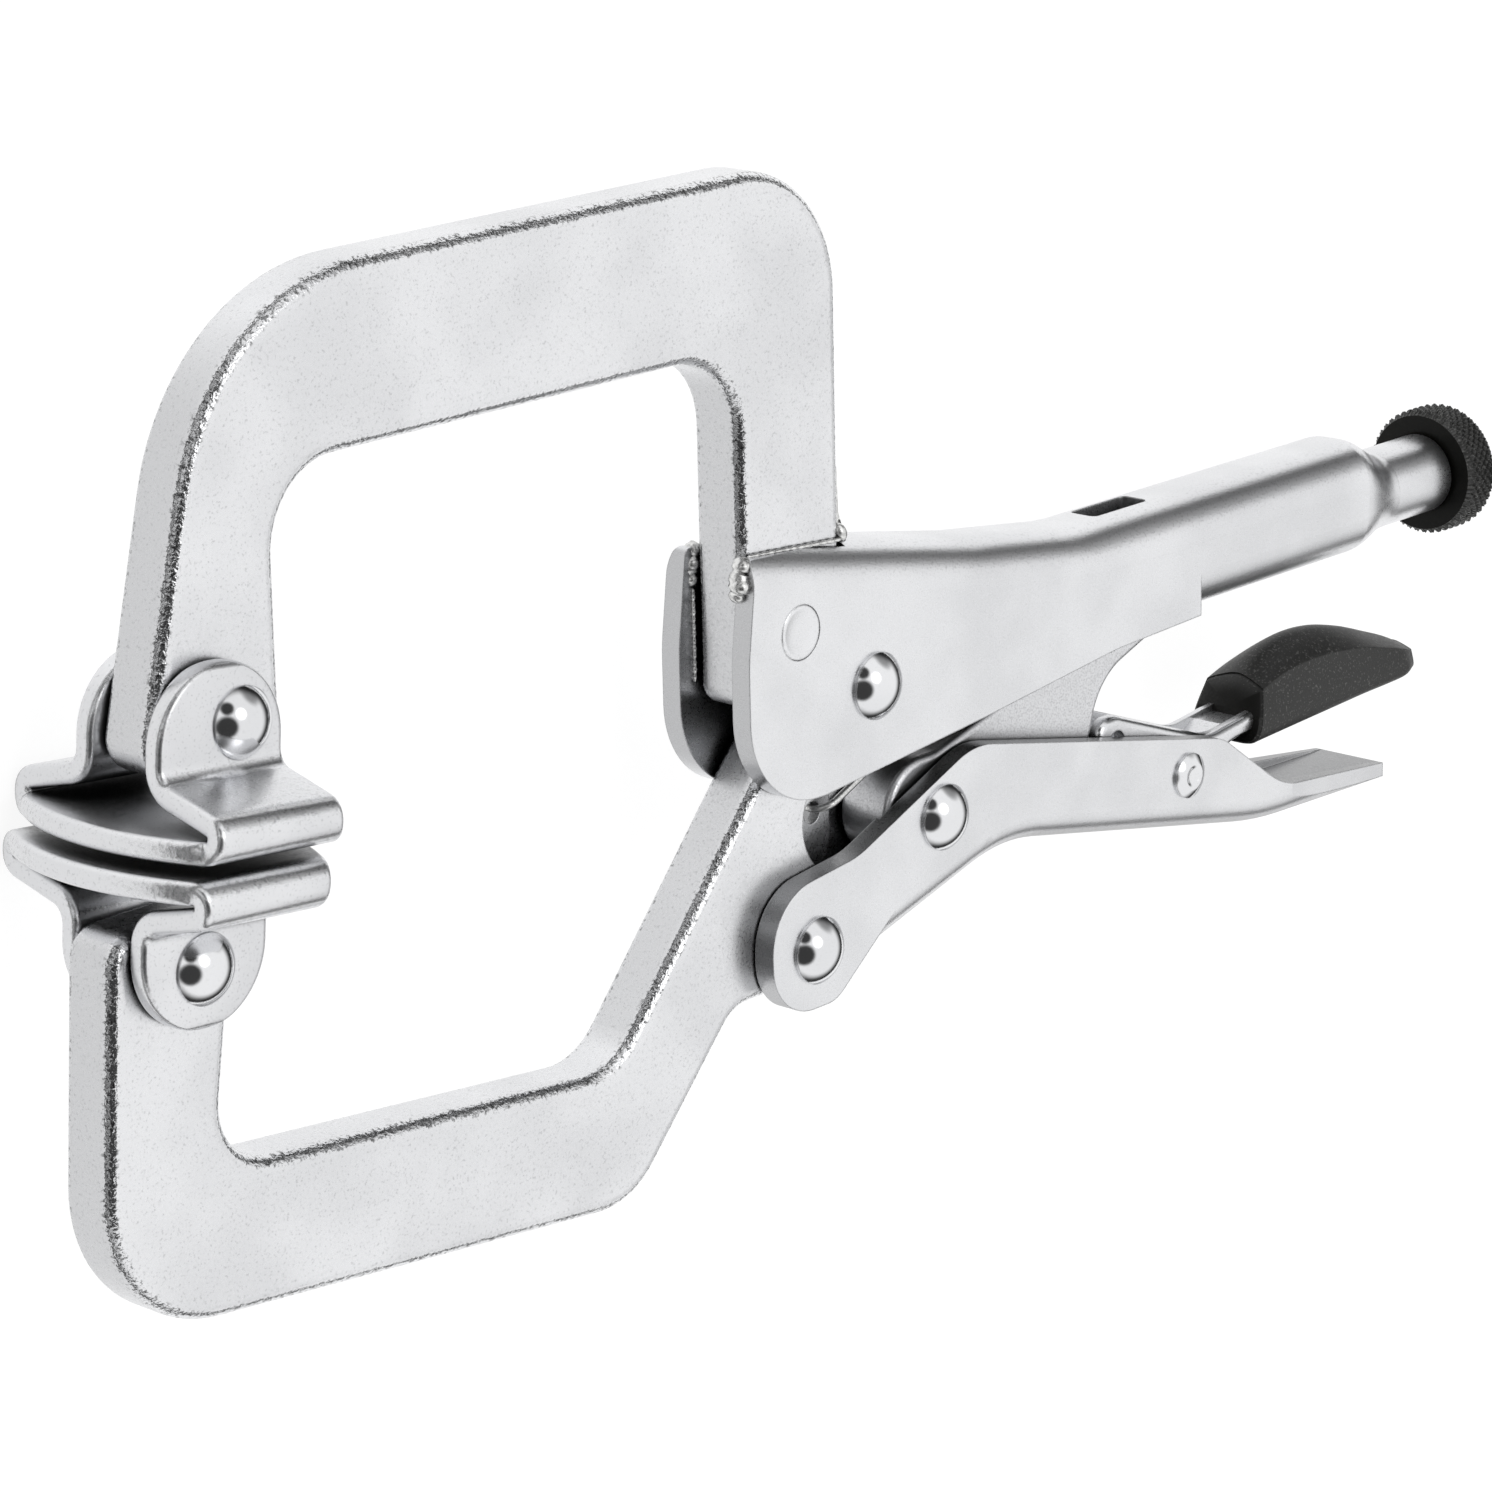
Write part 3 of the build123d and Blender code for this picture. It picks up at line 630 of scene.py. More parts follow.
@dataclass
class Rivet:
    """Rivet turned about its own axis, with a head like the cap of a ball on both sides."""

    node: str
    body: str
    head_radius: float = 4.45
    head_height: float = 2.6
    seat_height: float = 2.3
    head_edge: float = 0.4
    shank_radius: float = 3.2
    dimple: float = 0.0
    dimple_share: float = 0.6
    dimple_slope: float = 1.6
    sides: int = 72
    steps: int = 18

    def head(self, level: float) -> list[tuple[float, float]]:
        """Profile of one head.

        Args:
            level: height of the sheet that the head sits on.

        Returns:
            Radius and height of each ring, from the crown to the shank.
        """
        rise = self.head_height - self.head_edge
        ball = (self.head_radius**2 + rise**2) / (2.0 * rise)
        spread = math.asin(min(self.head_radius / ball, 1.0))
        profile = []
        for step in range(1, self.steps + 1):
            turn = spread * step / self.steps
            out = ball * math.sin(turn)
            inward = 1.0 - out / (self.dimple_share * self.head_radius)
            sink = self.dimple * smooth(self.dimple_slope * inward)
            profile.append((out, level + self.head_height - ball * (1.0 - math.cos(turn)) - sink))
        return profile + [(self.head_radius, level), (self.shank_radius, level)]

    def build(self, finish: bpy.types.Material) -> None:
        """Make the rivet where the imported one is.

        Args:
            finish: its material.
        """
        low, high = box_mm(self.node)
        centre = 0.5 * (low + high)
        profile = self.head(high.z - self.seat_height - centre.z)
        profile += [(out, -height) for out, height in reversed(profile)]
        skin = Skin(f"{self.node}_turned")
        skin.tube([turned_ring(centre, out, centre.z + height, self.sides) for out, height in profile])
        seat(skin.build(finish), self.body, "rivet_plating", self.node)


@dataclass
class JawDowel:
    """Dowel through the cheeks and the shank, dressed flush, with a faint raised ring."""

    hub_share: float = 0.3
    rim: float = 0.45
    rim_foot: float = 1.6
    rim_crest: float = 0.4
    rim_rise: float = 0.10
    groove: float = 0.12
    groove_depth: float = 0.08
    sides: int = 72

    def build(self, finish: bpy.types.Material) -> None:
        """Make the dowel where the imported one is.

        Args:
            finish: its material.
        """
        low, high = box_mm("jaw_dowel")
        centre = 0.5 * (low + high)
        radius = 0.5 * (high.x - low.x)
        top = high.z - centre.z
        inner = radius - self.groove
        profile = [
            (self.hub_share * radius, top),
            (inner - self.rim_foot * self.rim, top),
            (inner - self.rim, top + self.rim_rise),
            (inner - self.rim_crest * self.rim, top + self.rim_rise),
            (inner, top),
            (radius, top - self.groove_depth),
        ]
        profile += [(out, -height) for out, height in reversed(profile)]
        skin = Skin("jaw_dowel_turned")
        skin.tube([turned_ring(centre, out, centre.z + height, self.sides) for out, height in profile])
        seat(skin.build(finish), "handle_and_jaw", "dowel_steel", "jaw_dowel")


@dataclass
class ScrewAndKnob:
    """Adjusting screw with its thread, and the knurled knob on its end."""

    lead: float = 1.25
    thread_depth: float = 0.62
    thread_slope: float = 1.8
    thread_root: float = 0.4
    thread_sides: int = 28
    thread_steps: int = 7
    tip_length: float = 1.2
    tip_drop: float = 1.0
    teeth: int = 42
    tooth_depth: float = 0.55
    tooth_slope: float = 1.35
    tooth_steps: int = 8
    knob_edge: float = 0.8
    bore_gap: float = 0.12
    dish_radius: float = 5.4
    dish_depth: float = 0.7
    dish_slope: float = 0.5
    front_dish: float = 0.6
    sharp: float = 28.0

    def axial_ring(self, centre: Vector, x: float, outs: Sequence[float]) -> list[Vector]:
        """Ring about the screw's axis.

        Args:
            centre: point on the axis.
            x: place along the axis.
            outs: radius at each point of the ring.

        Returns:
            The ring's points.
        """
        points = []
        for k, out in enumerate(outs):
            turn = 2.0 * math.pi * k / len(outs)
            points.append(Vector((x, centre.y + out * math.cos(turn), centre.z + out * math.sin(turn))))
        return points

    def build_screw(self, finish: bpy.types.Material) -> None:
        """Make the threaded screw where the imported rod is.

        Args:
            finish: its material.
        """
        low, high = box_mm("adjusting_screw")
        centre = 0.5 * (low + high)
        crest = 0.5 * (high.y - low.y)
        steps = math.ceil((high.x - low.x) / self.lead * self.thread_steps)
        rings = []
        for step in range(steps + 1):
            x = low.x + (high.x - low.x) * step / steps
            drop = self.tip_drop * (1.0 - smooth((x - low.x) / self.tip_length))
            outs = []
            for k in range(self.thread_sides):
                share = k / self.thread_sides
                flank = self.thread_slope * ridge(x / self.lead - share) - self.thread_root
                height = min(max(flank, 0.0), 1.0)
                outs.append(crest - drop - self.thread_depth * (1.0 - height))
            rings.append(self.axial_ring(centre, x, outs))
        skin = Skin("adjusting_screw_threaded")
        skin.tube(rings)
        seat(skin.build(finish), "screw", "screw_steel", "adjusting_screw")

    def tooth(self, share: float, x: float, pitch: float) -> float:
        """Height of the knurl, from 0 in a groove to 1 on a tooth.

        Args:
            share: share of a full turn round the knob.
            x: place along the knob.
            pitch: width of a tooth.

        Returns:
            The height.
        """
        both = min(ridge(self.teeth * share + x / pitch), ridge(self.teeth * share - x / pitch))
        return smooth(self.tooth_slope * both)

    def build_knob(self, finish: bpy.types.Material) -> None:
        """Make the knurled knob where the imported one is.

        Args:
            finish: its material.
        """
        low, high = box_mm("knurled_knob")
        screw_low, screw_high = box_mm("adjusting_screw")
        centre = 0.5 * (low + high)
        radius = 0.5 * (high.y - low.y)
        bore = 0.5 * (screw_high.y - screw_low.y) + self.bore_gap
        rim = radius - self.knob_edge
        pitch = 2.0 * math.pi * radius / self.teeth
        sides = self.teeth * self.tooth_steps
        first, last = low.x + self.knob_edge, high.x - self.knob_edge
        rows = round((last - first) / pitch * self.tooth_steps)
        plain = [(low.x + self.front_dish, bore), (low.x, rim - self.front_dish), (low.x, rim)]
        knurled = [first + (last - first) * row / rows for row in range(rows + 1)]
        dish = high.x - self.dish_depth
        back = [(high.x, rim), (high.x, self.dish_radius)]
        back += [(dish, self.dish_radius - self.dish_slope), (dish, bore)]
        rings = [self.axial_ring(centre, x, [out] * sides) for x, out in plain]
        for x in knurled:
            teeth = [self.tooth(k / sides, x, pitch) for k in range(sides)]
            outs = [radius - self.tooth_depth * (1.0 - tooth) for tooth in teeth]
            rings.append(self.axial_ring(centre, x, outs))
        rings += [self.axial_ring(centre, x, [out] * sides) for x, out in back]
        skin = Skin("knurled_knob_cut")
        skin.tube(rings, endless=True)
        seat(skin.build(finish, self.sharp), "knob", "knob_oxide", "knurled_knob")


@dataclass(frozen=True)
class SleeveStation:
    """Section across the sleeve, from the jaw pivot: where it is cut and how it swells."""

    top_x: float
    bottom_x: float
    crown: float
    shoulder: float
    bottom: float
    half: float
    shoulder_half: float

    def ring(self, pivot: Vector, shrink: float = 1.0) -> list[Vector]:
        """Rounded ring of the section.

        Args:
            pivot: place of the jaw pivot.
            shrink: scale of the ring about its middle.

        Returns:
            The ring's points.
        """
        flank = self.shoulder - self.bottom
        slope = self.crown - self.shoulder
        # corners of the near half, as shares of the section's own widths and heights
        near = [
            (0.55 * self.shoulder_half, self.crown - 0.45 * slope),
            (0.98 * self.shoulder_half, self.shoulder + 0.04 * slope),
            (self.shoulder_half, self.shoulder - 0.02 * flank),
            (self.half, self.bottom + 0.42 * flank),
            (0.99 * self.half, self.bottom + 0.16 * flank),
            (0.80 * self.half, self.bottom),
        ]
        far = [(-z, y) for z, y in reversed(near)]
        middle = 0.5 * (self.crown + self.bottom)
        points = []
        for z, y in rounded([(0.0, self.crown), *near, (0.0, self.bottom), *far]):
            y = middle + shrink * (y - middle)
            share = (y - self.bottom) / (self.crown - self.bottom)
            x = self.bottom_x + share * (self.top_x - self.bottom_x)
            points.append(pivot + Vector((x, y, shrink * z)))
        return points


@dataclass
class DippedSleeve:
    """Black vinyl dipped over the lever's tail: a slanted front, a swollen back and a spoon tip."""

    stations: tuple[SleeveStation, ...] = (
        SleeveStation(86.6, 83.4, -19.0, -20.6, -28.2, 6.1, 5.0),
        SleeveStation(91.5, 89.6, -16.2, -19.3, -27.9, 6.2, 5.0),
        SleeveStation(97.5, 96.4, -15.0, -18.7, -27.6, 6.2, 5.0),
        SleeveStation(104.0, 103.6, -15.3, -18.9, -27.3, 6.1, 5.0),
        SleeveStation(111.0, 111.0, -17.0, -19.8, -27.0, 5.9, 4.9),
        SleeveStation(117.0, 117.2, -19.1, -21.2, -26.9, 5.6, 4.7),
        SleeveStation(121.6, 121.8, -20.8, -22.4, -26.8, 5.1, 4.4),
        SleeveStation(124.6, 124.6, -22.2, -23.3, -26.5, 4.0, 3.5),
    )
    lip: float = 0.5
    lip_shrink: float = 0.93
    tip_reach: float = 1.4
    tip_rings: tuple[tuple[float, float], ...] = ((0.38, 0.95), (0.7, 0.83), (0.92, 0.62), (1.0, 0.3))
    fill: int = 8
    sharp: float = 48.0

    def between(self, index: int, share: float) -> SleeveStation:
        """Station on the smooth line through the given ones.

        Args:
            index: number of the station before it.
            share: share of the way to the next station.

        Returns:
            The station in between.
        """
        last = len(self.stations) - 1
        knots = [astuple(self.stations[min(max(index + k, 0), last)]) for k in (-1, 0, 1, 2)]
        mixed = []
        for before, start, end, after in zip(*knots):
            slope = 2 * before - 5 * start + 4 * end - after
            curve = 3 * start - before - 3 * end + after
            mixed.append(start + 0.5 * share * (end - before + slope * share + curve * share**2))
        return SleeveStation(*mixed)

    def build(self, pivot: Vector, finish: bpy.types.Material) -> None:
        """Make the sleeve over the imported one.

        Args:
            pivot: place of the jaw pivot.
            finish: its material.
        """
        ahead = Vector((self.lip, 0.0, 0.0))
        front = self.stations[0]
        rings = [front.ring(pivot, self.lip_shrink), [point + ahead for point in front.ring(pivot)]]
        for index in range(len(self.stations) - 1):
            for step in range(self.fill):
                if index or step:
                    rings.append(self.between(index, step / self.fill).ring(pivot))
        end = self.stations[-1]
        rings.append(end.ring(pivot))
        for reach, shrink in self.tip_rings:
            ahead = Vector((reach * self.tip_reach, 0.0, 0.0))
            rings.append([point + ahead for point in end.ring(pivot, shrink)])
        skin = Skin("lever_sleeve_dipped")
        skin.tube(rings)
        seat(skin.build(finish, self.sharp), "lever", "sleeve_vinyl", "lever_sleeve")


@dataclass
class SwivelPad:
    """Pad of one sheet, folded back over itself at both sides and turned up into two ears."""

    node: str
    body: str
    rivet_height: float = 13.2
    sheet: float = 2.8
    edge: float = 1.0
    sole: float = -11.8
    roll: float = -9.0
    flange: float = -6.4
    roll_out: float = 16.2
    roll_radius: float = 1.4
    bend_radius: float = 3.4
    ear_middle: float = 5.8
    ear_half: float = 9.4
    ear_top: float = 7.2
    ear_radius: float = 9.3
    middle_half: float = 14.4
    bow_radius: float = 29.6
    round_steps: int = 26
    step: float = 0.7
    arc_step: float = 0.35
    arc_least: int = 4
    edge_steps: int = 5
    edge_limit: float = 0.95
    sharp: float = 50.0

    def half_of_path(self) -> list[Vector]:
        """Middle line of half the sheet, from an ear's top to the middle of the sole.

        Returns:
            Points as distance from the pad's face, counted from the rivet, and place along the hinge.
        """
        ear_knee = self.ear_top - self.ear_radius
        points = []
        for k in range(1, self.round_steps + 1):
            turn = 0.5 * math.pi * k / self.round_steps
            points.append(Vector((ear_knee + self.ear_radius * math.cos(turn), self.ear_middle)))
        corners = [
            (Vector((self.flange, self.ear_middle)), self.bend_radius),
            (Vector((self.roll, self.roll_out)), self.roll_radius),
            (Vector((self.sole, self.roll_out)), self.roll_radius),
            (Vector((self.sole, 0.0)), 0.0),
        ]
        for (corner, radius), (after, _) in zip(corners, corners[1:]):
            points += self.bend(points[-1], corner, after, radius)
        return points + self.straight(points[-1], corners[-1][0])

    def bend(self, before: Vector, corner: Vector, after: Vector, radius: float) -> list[Vector]:
        """Points along the straight stretch to a corner and the arc round it.

        Args:
            before: start of the stretch.
            corner: the corner.
            after: where the sheet goes on to.
            radius: radius of the arc.

        Returns:
            The points, without the start.
        """
        back = (before - corner).normalized()
        ahead = (after - corner).normalized()
        half = 0.5 * back.angle(ahead)
        start = corner + back * radius / math.tan(half)
        centre = corner + (back + ahead).normalized() * radius / math.sin(half)
        spoke = start - centre
        sweep = math.pi - 2.0 * half
        sense = math.copysign(1.0, -back.x * ahead.y + back.y * ahead.x)
        count = max(self.arc_least, round(sweep * radius / self.arc_step))
        points = self.straight(before, start)
        for k in range(1, count + 1):
            turn = sense * sweep * k / count
            cos, sin = math.cos(turn), math.sin(turn)
            points.append(centre + Vector((cos * spoke.x - sin * spoke.y, sin * spoke.x + cos * spoke.y)))
        return points

    def straight(self, start: Vector, end: Vector) -> list[Vector]:
        """Points along a straight stretch, without its start.

        Args:
            start: start of the stretch.
            end: end of the stretch.

        Returns:
            The points.
        """
        count = max(1, math.ceil((end - start).length / self.step))
        return [start.lerp(end, k / count) for k in range(1, count + 1)]

    def reach(self, point: Vector) -> float:
        """Half the sheet's length at a point of its middle line.

        Args:
            point: distance from the face and place along the hinge.

        Returns:
            Half the length.
        """
        bowed = self.middle_half - self.bow_radius + math.sqrt(self.bow_radius**2 - point.y**2)
        knee = self.ear_top - self.ear_radius
        if point.x > knee:
            chord = math.sqrt(self.ear_radius**2 - (point.x - knee) ** 2)
            return self.ear_half - self.ear_radius + chord
        rise = smooth((point.x - self.sole) / (self.roll - self.sole))
        return bowed + rise * (min(bowed, self.ear_half) - bowed)

    def loop(self, half_length: float, half_sheet: float) -> list[tuple[float, float]]:
        """Section through the sheet with rounded edges.

        Args:
            half_length: half its length along the pad.
            half_sheet: half its thickness.

        Returns:
            Points as place along the pad and height over the middle line.
        """
        edge = min(self.edge, self.edge_limit * half_length, self.edge_limit * half_sheet)
        points = []
        for quarter, (along, over) in enumerate(((1, 1), (-1, 1), (-1, -1), (1, -1))):
            for k in range(self.edge_steps + 1):
                turn = 0.5 * math.pi * (quarter + k / self.edge_steps)
                place = along * (half_length - edge) + edge * math.cos(turn)
                height = over * (half_sheet - edge) + edge * math.sin(turn)
                points.append((place, height))
        return points

    def build(self, face: Vector, away: Vector, finish: bpy.types.Material) -> None:
        """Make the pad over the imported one.

        Args:
            face: middle of the pad's face.
            away: direction from the pad's face to its ears.
            finish: its material.
        """
        hinge = Vector((0.0, 0.0, 1.0))
        middle = face + self.rivet_height * away
        along = away.cross(hinge)
        half = self.half_of_path()
        path = half + [Vector((point.x, -point.y)) for point in reversed(half[:-1])]
        rings = []
        for i, point in enumerate(path):
            ahead = (path[min(i + 1, len(path) - 1)] - path[max(i - 1, 0)]).normalized()
            over = Vector((-ahead.y, ahead.x))
            depth = min(self.ear_top - point.x, self.edge)
            rounding = math.sqrt(self.edge**2 - (self.edge - depth) ** 2)
            half_sheet = 0.5 * self.sheet - self.edge + rounding
            ring = []
            for place, height in self.loop(self.reach(point), half_sheet):
                spot = point + height * over
                ring.append(middle + place * along + spot.x * away + spot.y * hinge)
            rings.append(ring)
        skin = Skin(f"{self.node}_folded")
        skin.tube(rings)
        seat(skin.build(finish, self.sharp), self.body, "pad_plating", self.node)


@dataclass
class TensionSpring:
    """Spring between the moving jaw's tail and the handle's lug: one wire with a hook at each end."""

    wire: float = 1.0
    radius: float = 2.4
    pitch: float = 1.55
    turns: int = 15
    leg: float = 20.0
    lead: float = 2.4
    hook_end: float = 5.0
    hook_share: float = 0.6
    hook_room: float = 0.7
    hole: tuple[float, float] = (-5.4, -17.0)
    lug: tuple[float, float] = (48.5, 5.8)
    turn_steps: int = 18
    bend_steps: int = 12
    sides: int = 12
    sharp: float = 60.0

    def path(self, length: float) -> list[Vector]:
        """Middle line of the wire, along the spring's own axis.

        Args:
            length: length of the spring between the insides of its hooks.

        Returns:
            Points as travel along the axis, offset across it, and height.
        """
        tips = (self.hook_end, self.hook_share * self.hook_end)
        points = [Vector((tip, 0.0, -self.radius)) for tip in tips]
        bends = [math.pi * k / self.bend_steps for k in range(self.bend_steps + 1)]
        for turn in bends:
            points.append(self.radius * Vector((1.0 - math.sin(turn), 0.0, -math.cos(turn))))
        steps = self.turns * self.turn_steps
        quarter = self.turn_steps // 4
        for step in range(steps + 1):
            turn = 2.0 * math.pi * step / self.turn_steps
            inner = min(max(step, quarter), steps - quarter) - quarter
            starting = self.lead * smooth(step / quarter)
            ending = self.lead * smooth((step - steps + quarter) / quarter)
            travel = self.leg + starting + inner * self.pitch / self.turn_steps + ending
            points.append(Vector((travel, self.radius * math.sin(turn), self.radius * math.cos(turn))))
        for turn in bends:
            travel = length - self.radius + self.radius * math.sin(turn)
            points.append(Vector((travel, 0.0, self.radius * math.cos(turn))))
        return points + [Vector((length - self.hook_end, 0.0, -self.radius))]

    def build(self, pivot: Vector, finish: bpy.types.Material) -> None:
        """Make the spring, held by the handle at one end and by the moving jaw at the other.

        Args:
            pivot: place of the jaw pivot.
            finish: its material.
        """
        hole = pivot + Vector((*self.hole, 0.0))
        lug = pivot + Vector((*self.lug, 0.0))
        along = (lug - hole).normalized()
        over = Vector((0.0, 0.0, 1.0))
        across = over.cross(along)
        start = hole + self.hook_room * along
        length = (lug - hole).length - 2.0 * self.hook_room
        path = [start + p.x * along + p.y * across + p.z * over for p in self.path(length)]
        skin = Skin("tension_spring_wound")
        skin.bead(path, lambda share: 0.5 * self.wire, self.sides)
        piece = skin.build(finish, self.sharp)
        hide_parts("tension_spring")
        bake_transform(piece)
        LOG.info("built %s between two bodies: %d faces", piece.name, len(piece.data.polygons))


@dataclass
class Welds:
    """Weld beads that hold the upper jaw's shank in the handle."""

    blob_places: tuple[Place, ...] = (
        (-21.9, 20.8, 4.6),
        (-22.6, 19.9, 5.2),
        (-22.9, 18.8, 5.0),
        (-23.2, 17.6, 5.4),
        (-23.2, 16.5, 5.0),
        (-23.0, 15.6, 4.6),
    )
    blob_radius: float = 1.25
    blob_waves: tuple[Wave, ...] = ((0.14, 13.0, 0.6), (0.09, 31.0, 1.0))
    blob_taper: int = 6
    blob_steps: int = 7
    crack_start: Place = (-21.3, 15.4, 4.35)
    crack_end: Place = (-21.3, 3.2, 4.35)
    crack_radius: float = 0.3
    far_recess: float = 2.2
    seam_start: Place = (-20.8, 20.75, 4.55)
    seam_end: Place = (-2.6, 19.45, 4.55)
    seam_radius: float = 0.27
    seam_waves: int = 13
    seam_swell: float = 0.16
    seam_beat: Span = (0.6, 31.0)
    seam_taper: int = 12
    seam_steps: int = 8
    lump_start: Place = (-3.1, 21.4, 3.6)
    lump_end: Place = (-2.2, 19.0, 4.1)
    lump_radius: float = 0.95
    lump_taper: int = 2
    lump_thin: float = 0.004
    lump_steps: int = 14
    rear_ripple: float = 0.06
    rear_wave: float = 1.6
    rear_share: float = 0.5
    rear_sink: float = 0.4
    rear_hollow: Span = (0.2, 0.30)
    rear_skew: float = 0.9
    rear_taper: int = 8
    rear_thin: float = 0.05
    rear_rows: int = 24
    rear_steps: int = 12
    thin: float = 0.02
    sides: int = 14
    sharp: float = 60.0

    def placed(self, pivot: Vector, hand: Hand, place: Place) -> Vector:
        """Point on one side of the tool.

        Args:
            pivot: place of the jaw pivot.
            hand: side of the tool.
            place: point from the jaw pivot, on the near side.

        Returns:
            The point in the frame.
        """
        return pivot + Vector((place[0], place[1], hand.value * place[2]))

    def stretch(self, start: Vector, end: Vector, count: int) -> list[Vector]:
        """Evenly spaced points from start to end."""
        return [start.lerp(end, k / count) for k in range(count + 1)]

    def build_front(self, pivot: Vector, hand: Hand, finish: bpy.types.Material) -> None:
        """Make the lumpy bead at the corner of a cheek, and the thin seams behind and below it.

        Args:
            pivot: place of the jaw pivot.
            hand: side of the tool.
            finish: its material.
        """
        node = f"front_weld_{hand.name.lower()}"
        skin = Skin(f"{node}_run")
        deep = Vector((self.far_recess if hand is Hand.FAR else 0.0, 0.0, 0.0))
        knots = [self.placed(pivot, hand, place) + deep for place in self.blob_places]
        path = knots[:1]
        for start, end in zip(knots, knots[1:]):
            path += self.stretch(start, end, self.blob_steps)[1:]
        skin.bead(path, self.blob, self.sides)
        for first, last, radius in (
            (self.seam_start, self.seam_end, self.seam),
            (self.crack_start, self.crack_end, self.crack),
        ):
            start, end = self.placed(pivot, hand, first), self.placed(pivot, hand, last)
            skin.bead(self.stretch(start, end, self.seam_steps * self.seam_waves), radius, self.sides)
        seat(skin.build(finish, self.sharp), "handle_and_jaw", "weld_steel", node)

    def taper(self, share: float, power: int, least: float) -> float:
        """How a bead thins towards both ends.

        Args:
            share: share of the bead's length that lies behind.
            power: how late it starts to thin.
            least: square of the share that is left at the ends.

        Returns:
            The share of the full radius.
        """
        return math.sqrt(max(1.0 - (2.0 * share - 1.0) ** power, least))

    def blob(self, share: float) -> float:
        """Radius of the corner bead.

        Args:
            share: share of the bead's length that lies behind.

        Returns:
            The radius.
        """
        swell = 1.0
        for part, rate, phase in self.blob_waves:
            swell += part * math.sin(rate * share + phase)
        return self.blob_radius * swell * self.taper(share, self.blob_taper, self.thin)

    def seam(self, share: float) -> float:
        """Radius of the thin seam.

        Args:
            share: share of the seam's length that lies behind.

        Returns:
            The radius.
        """
        part, rate = self.seam_beat
        wave = math.sin(2.0 * math.pi * self.seam_waves * share) + part * math.sin(rate * share)
        swell = 1.0 + self.seam_swell * wave
        return self.seam_radius * swell * self.taper(share, self.seam_taper, self.thin)

    def crack(self, share: float) -> float:
        """Radius of the run between the shank and a cheek by the share of its length."""
        return self.crack_radius / self.seam_radius * self.seam(share)

    def lump(self, share: float) -> float:
        """Radius of the lump behind the shank by the share of its length."""
        return self.lump_radius * self.taper(share, self.lump_taper, self.lump_thin)

    def build_rear(self, pivot: Vector, finish: bpy.types.Material) -> None:
        """Make the rippled fillet behind the shank, with a lump at each end.

        Args:
            pivot: place of the jaw pivot.
            finish: its material.
        """
        low, high = box_mm("rear_weld")
        corner = Vector((low.x - self.rear_sink, low.y - self.rear_sink))
        crown = Vector((low.x, high.y))
        foot = Vector((low.x + self.rear_share * (high.x - low.x), low.y))
        out, up = self.rear_hollow
        inside = Vector((low.x + out * (foot.x - low.x), low.y + up * (high.y - low.y)))
        rings = []
        for row in range(self.rear_rows + 1):
            z = low.z + (high.z - low.z) * row / self.rear_rows
            swell = self.taper(row / self.rear_rows, self.rear_taper, self.rear_thin)
            ring = [Vector((corner.x, corner.y, z)), Vector((corner.x, crown.y, z))]
            for k in range(self.rear_steps + 1):
                share = k / self.rear_steps
                bow = (1 - share) ** 2 * crown + 2 * share * (1 - share) * inside + share**2 * foot
                phase = z / self.rear_wave + self.rear_skew * share
                ripple = self.rear_ripple * math.sin(2.0 * math.pi * phase)
                x = low.x + swell * (bow.x - low.x) + ripple * math.sin(math.pi * share)
                ring.append(Vector((x, bow.y, z)))
            ring.append(Vector((foot.x, corner.y, z)))
            rings.append(ring)
        skin = Skin("rear_weld_run")
        skin.tube(rings)
        for hand in Hand:
            start, end = (self.placed(pivot, hand, place) for place in (self.lump_start, self.lump_end))
            skin.bead(self.stretch(start, end, self.lump_steps), self.lump, self.sides)
        seat(skin.build(finish, self.sharp), "handle_and_jaw", "weld_steel", "rear_weld")


@dataclass
class Dresser:
    """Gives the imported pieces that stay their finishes."""

    nodes: dict[str, bpy.types.Object]

    def dress(self, finish: bpy.types.Material, *names: str) -> None:
        """Put one finish on several pieces.

        Args:
            finish: material to use.
            names: names of the pieces.
        """
        for name in names:
            mesh = self.nodes[name].data
            mesh.materials.clear()
            mesh.materials.append(finish)
            LOG.info("dressed %s with %s", name, finish.name)


@dataclass
class PhotoCamera:
    """Camera of the photograph, with the tool's Y axis upright in the picture."""

    turn: float = math.radians(-47.517)
    rise: float = math.radians(16.624)
    roll: float = math.radians(-1.234)
    aim: Place = (96.17, -12.08, 0.0)
    distance: float = 633.5
    focal_pixels: float = 5000.0
    picture_pixels: float = 1492.0
    sensor: float = 36.0
    near_clip: float = 10.0

    def build(self) -> None:
        """Make the camera and set it as the scene's."""
        flat = math.cos(self.rise)
        back = Vector((math.sin(self.turn) * flat, math.sin(self.rise), math.cos(self.turn) * flat))
        level = Vector((math.cos(self.turn), 0.0, -math.sin(self.turn)))
        upright = back.cross(level)
        right = math.cos(self.roll) * level + math.sin(self.roll) * upright
        up = math.cos(self.roll) * upright - math.sin(self.roll) * level
        camera = bpy.data.objects.new("photo_camera", bpy.data.cameras.new("photo_camera"))
        camera.data.sensor_width = self.sensor
        camera.data.lens = self.focal_pixels / self.picture_pixels * self.sensor
        camera.data.clip_start = self.near_clip * MM
        axes = Matrix((right, up, back)).transposed().to_4x4()
        camera.matrix_world = Matrix.Translation((Vector(self.aim) + self.distance * back) * MM) @ axes
        bpy.context.scene.collection.objects.link(camera)
        bpy.context.scene.camera = camera


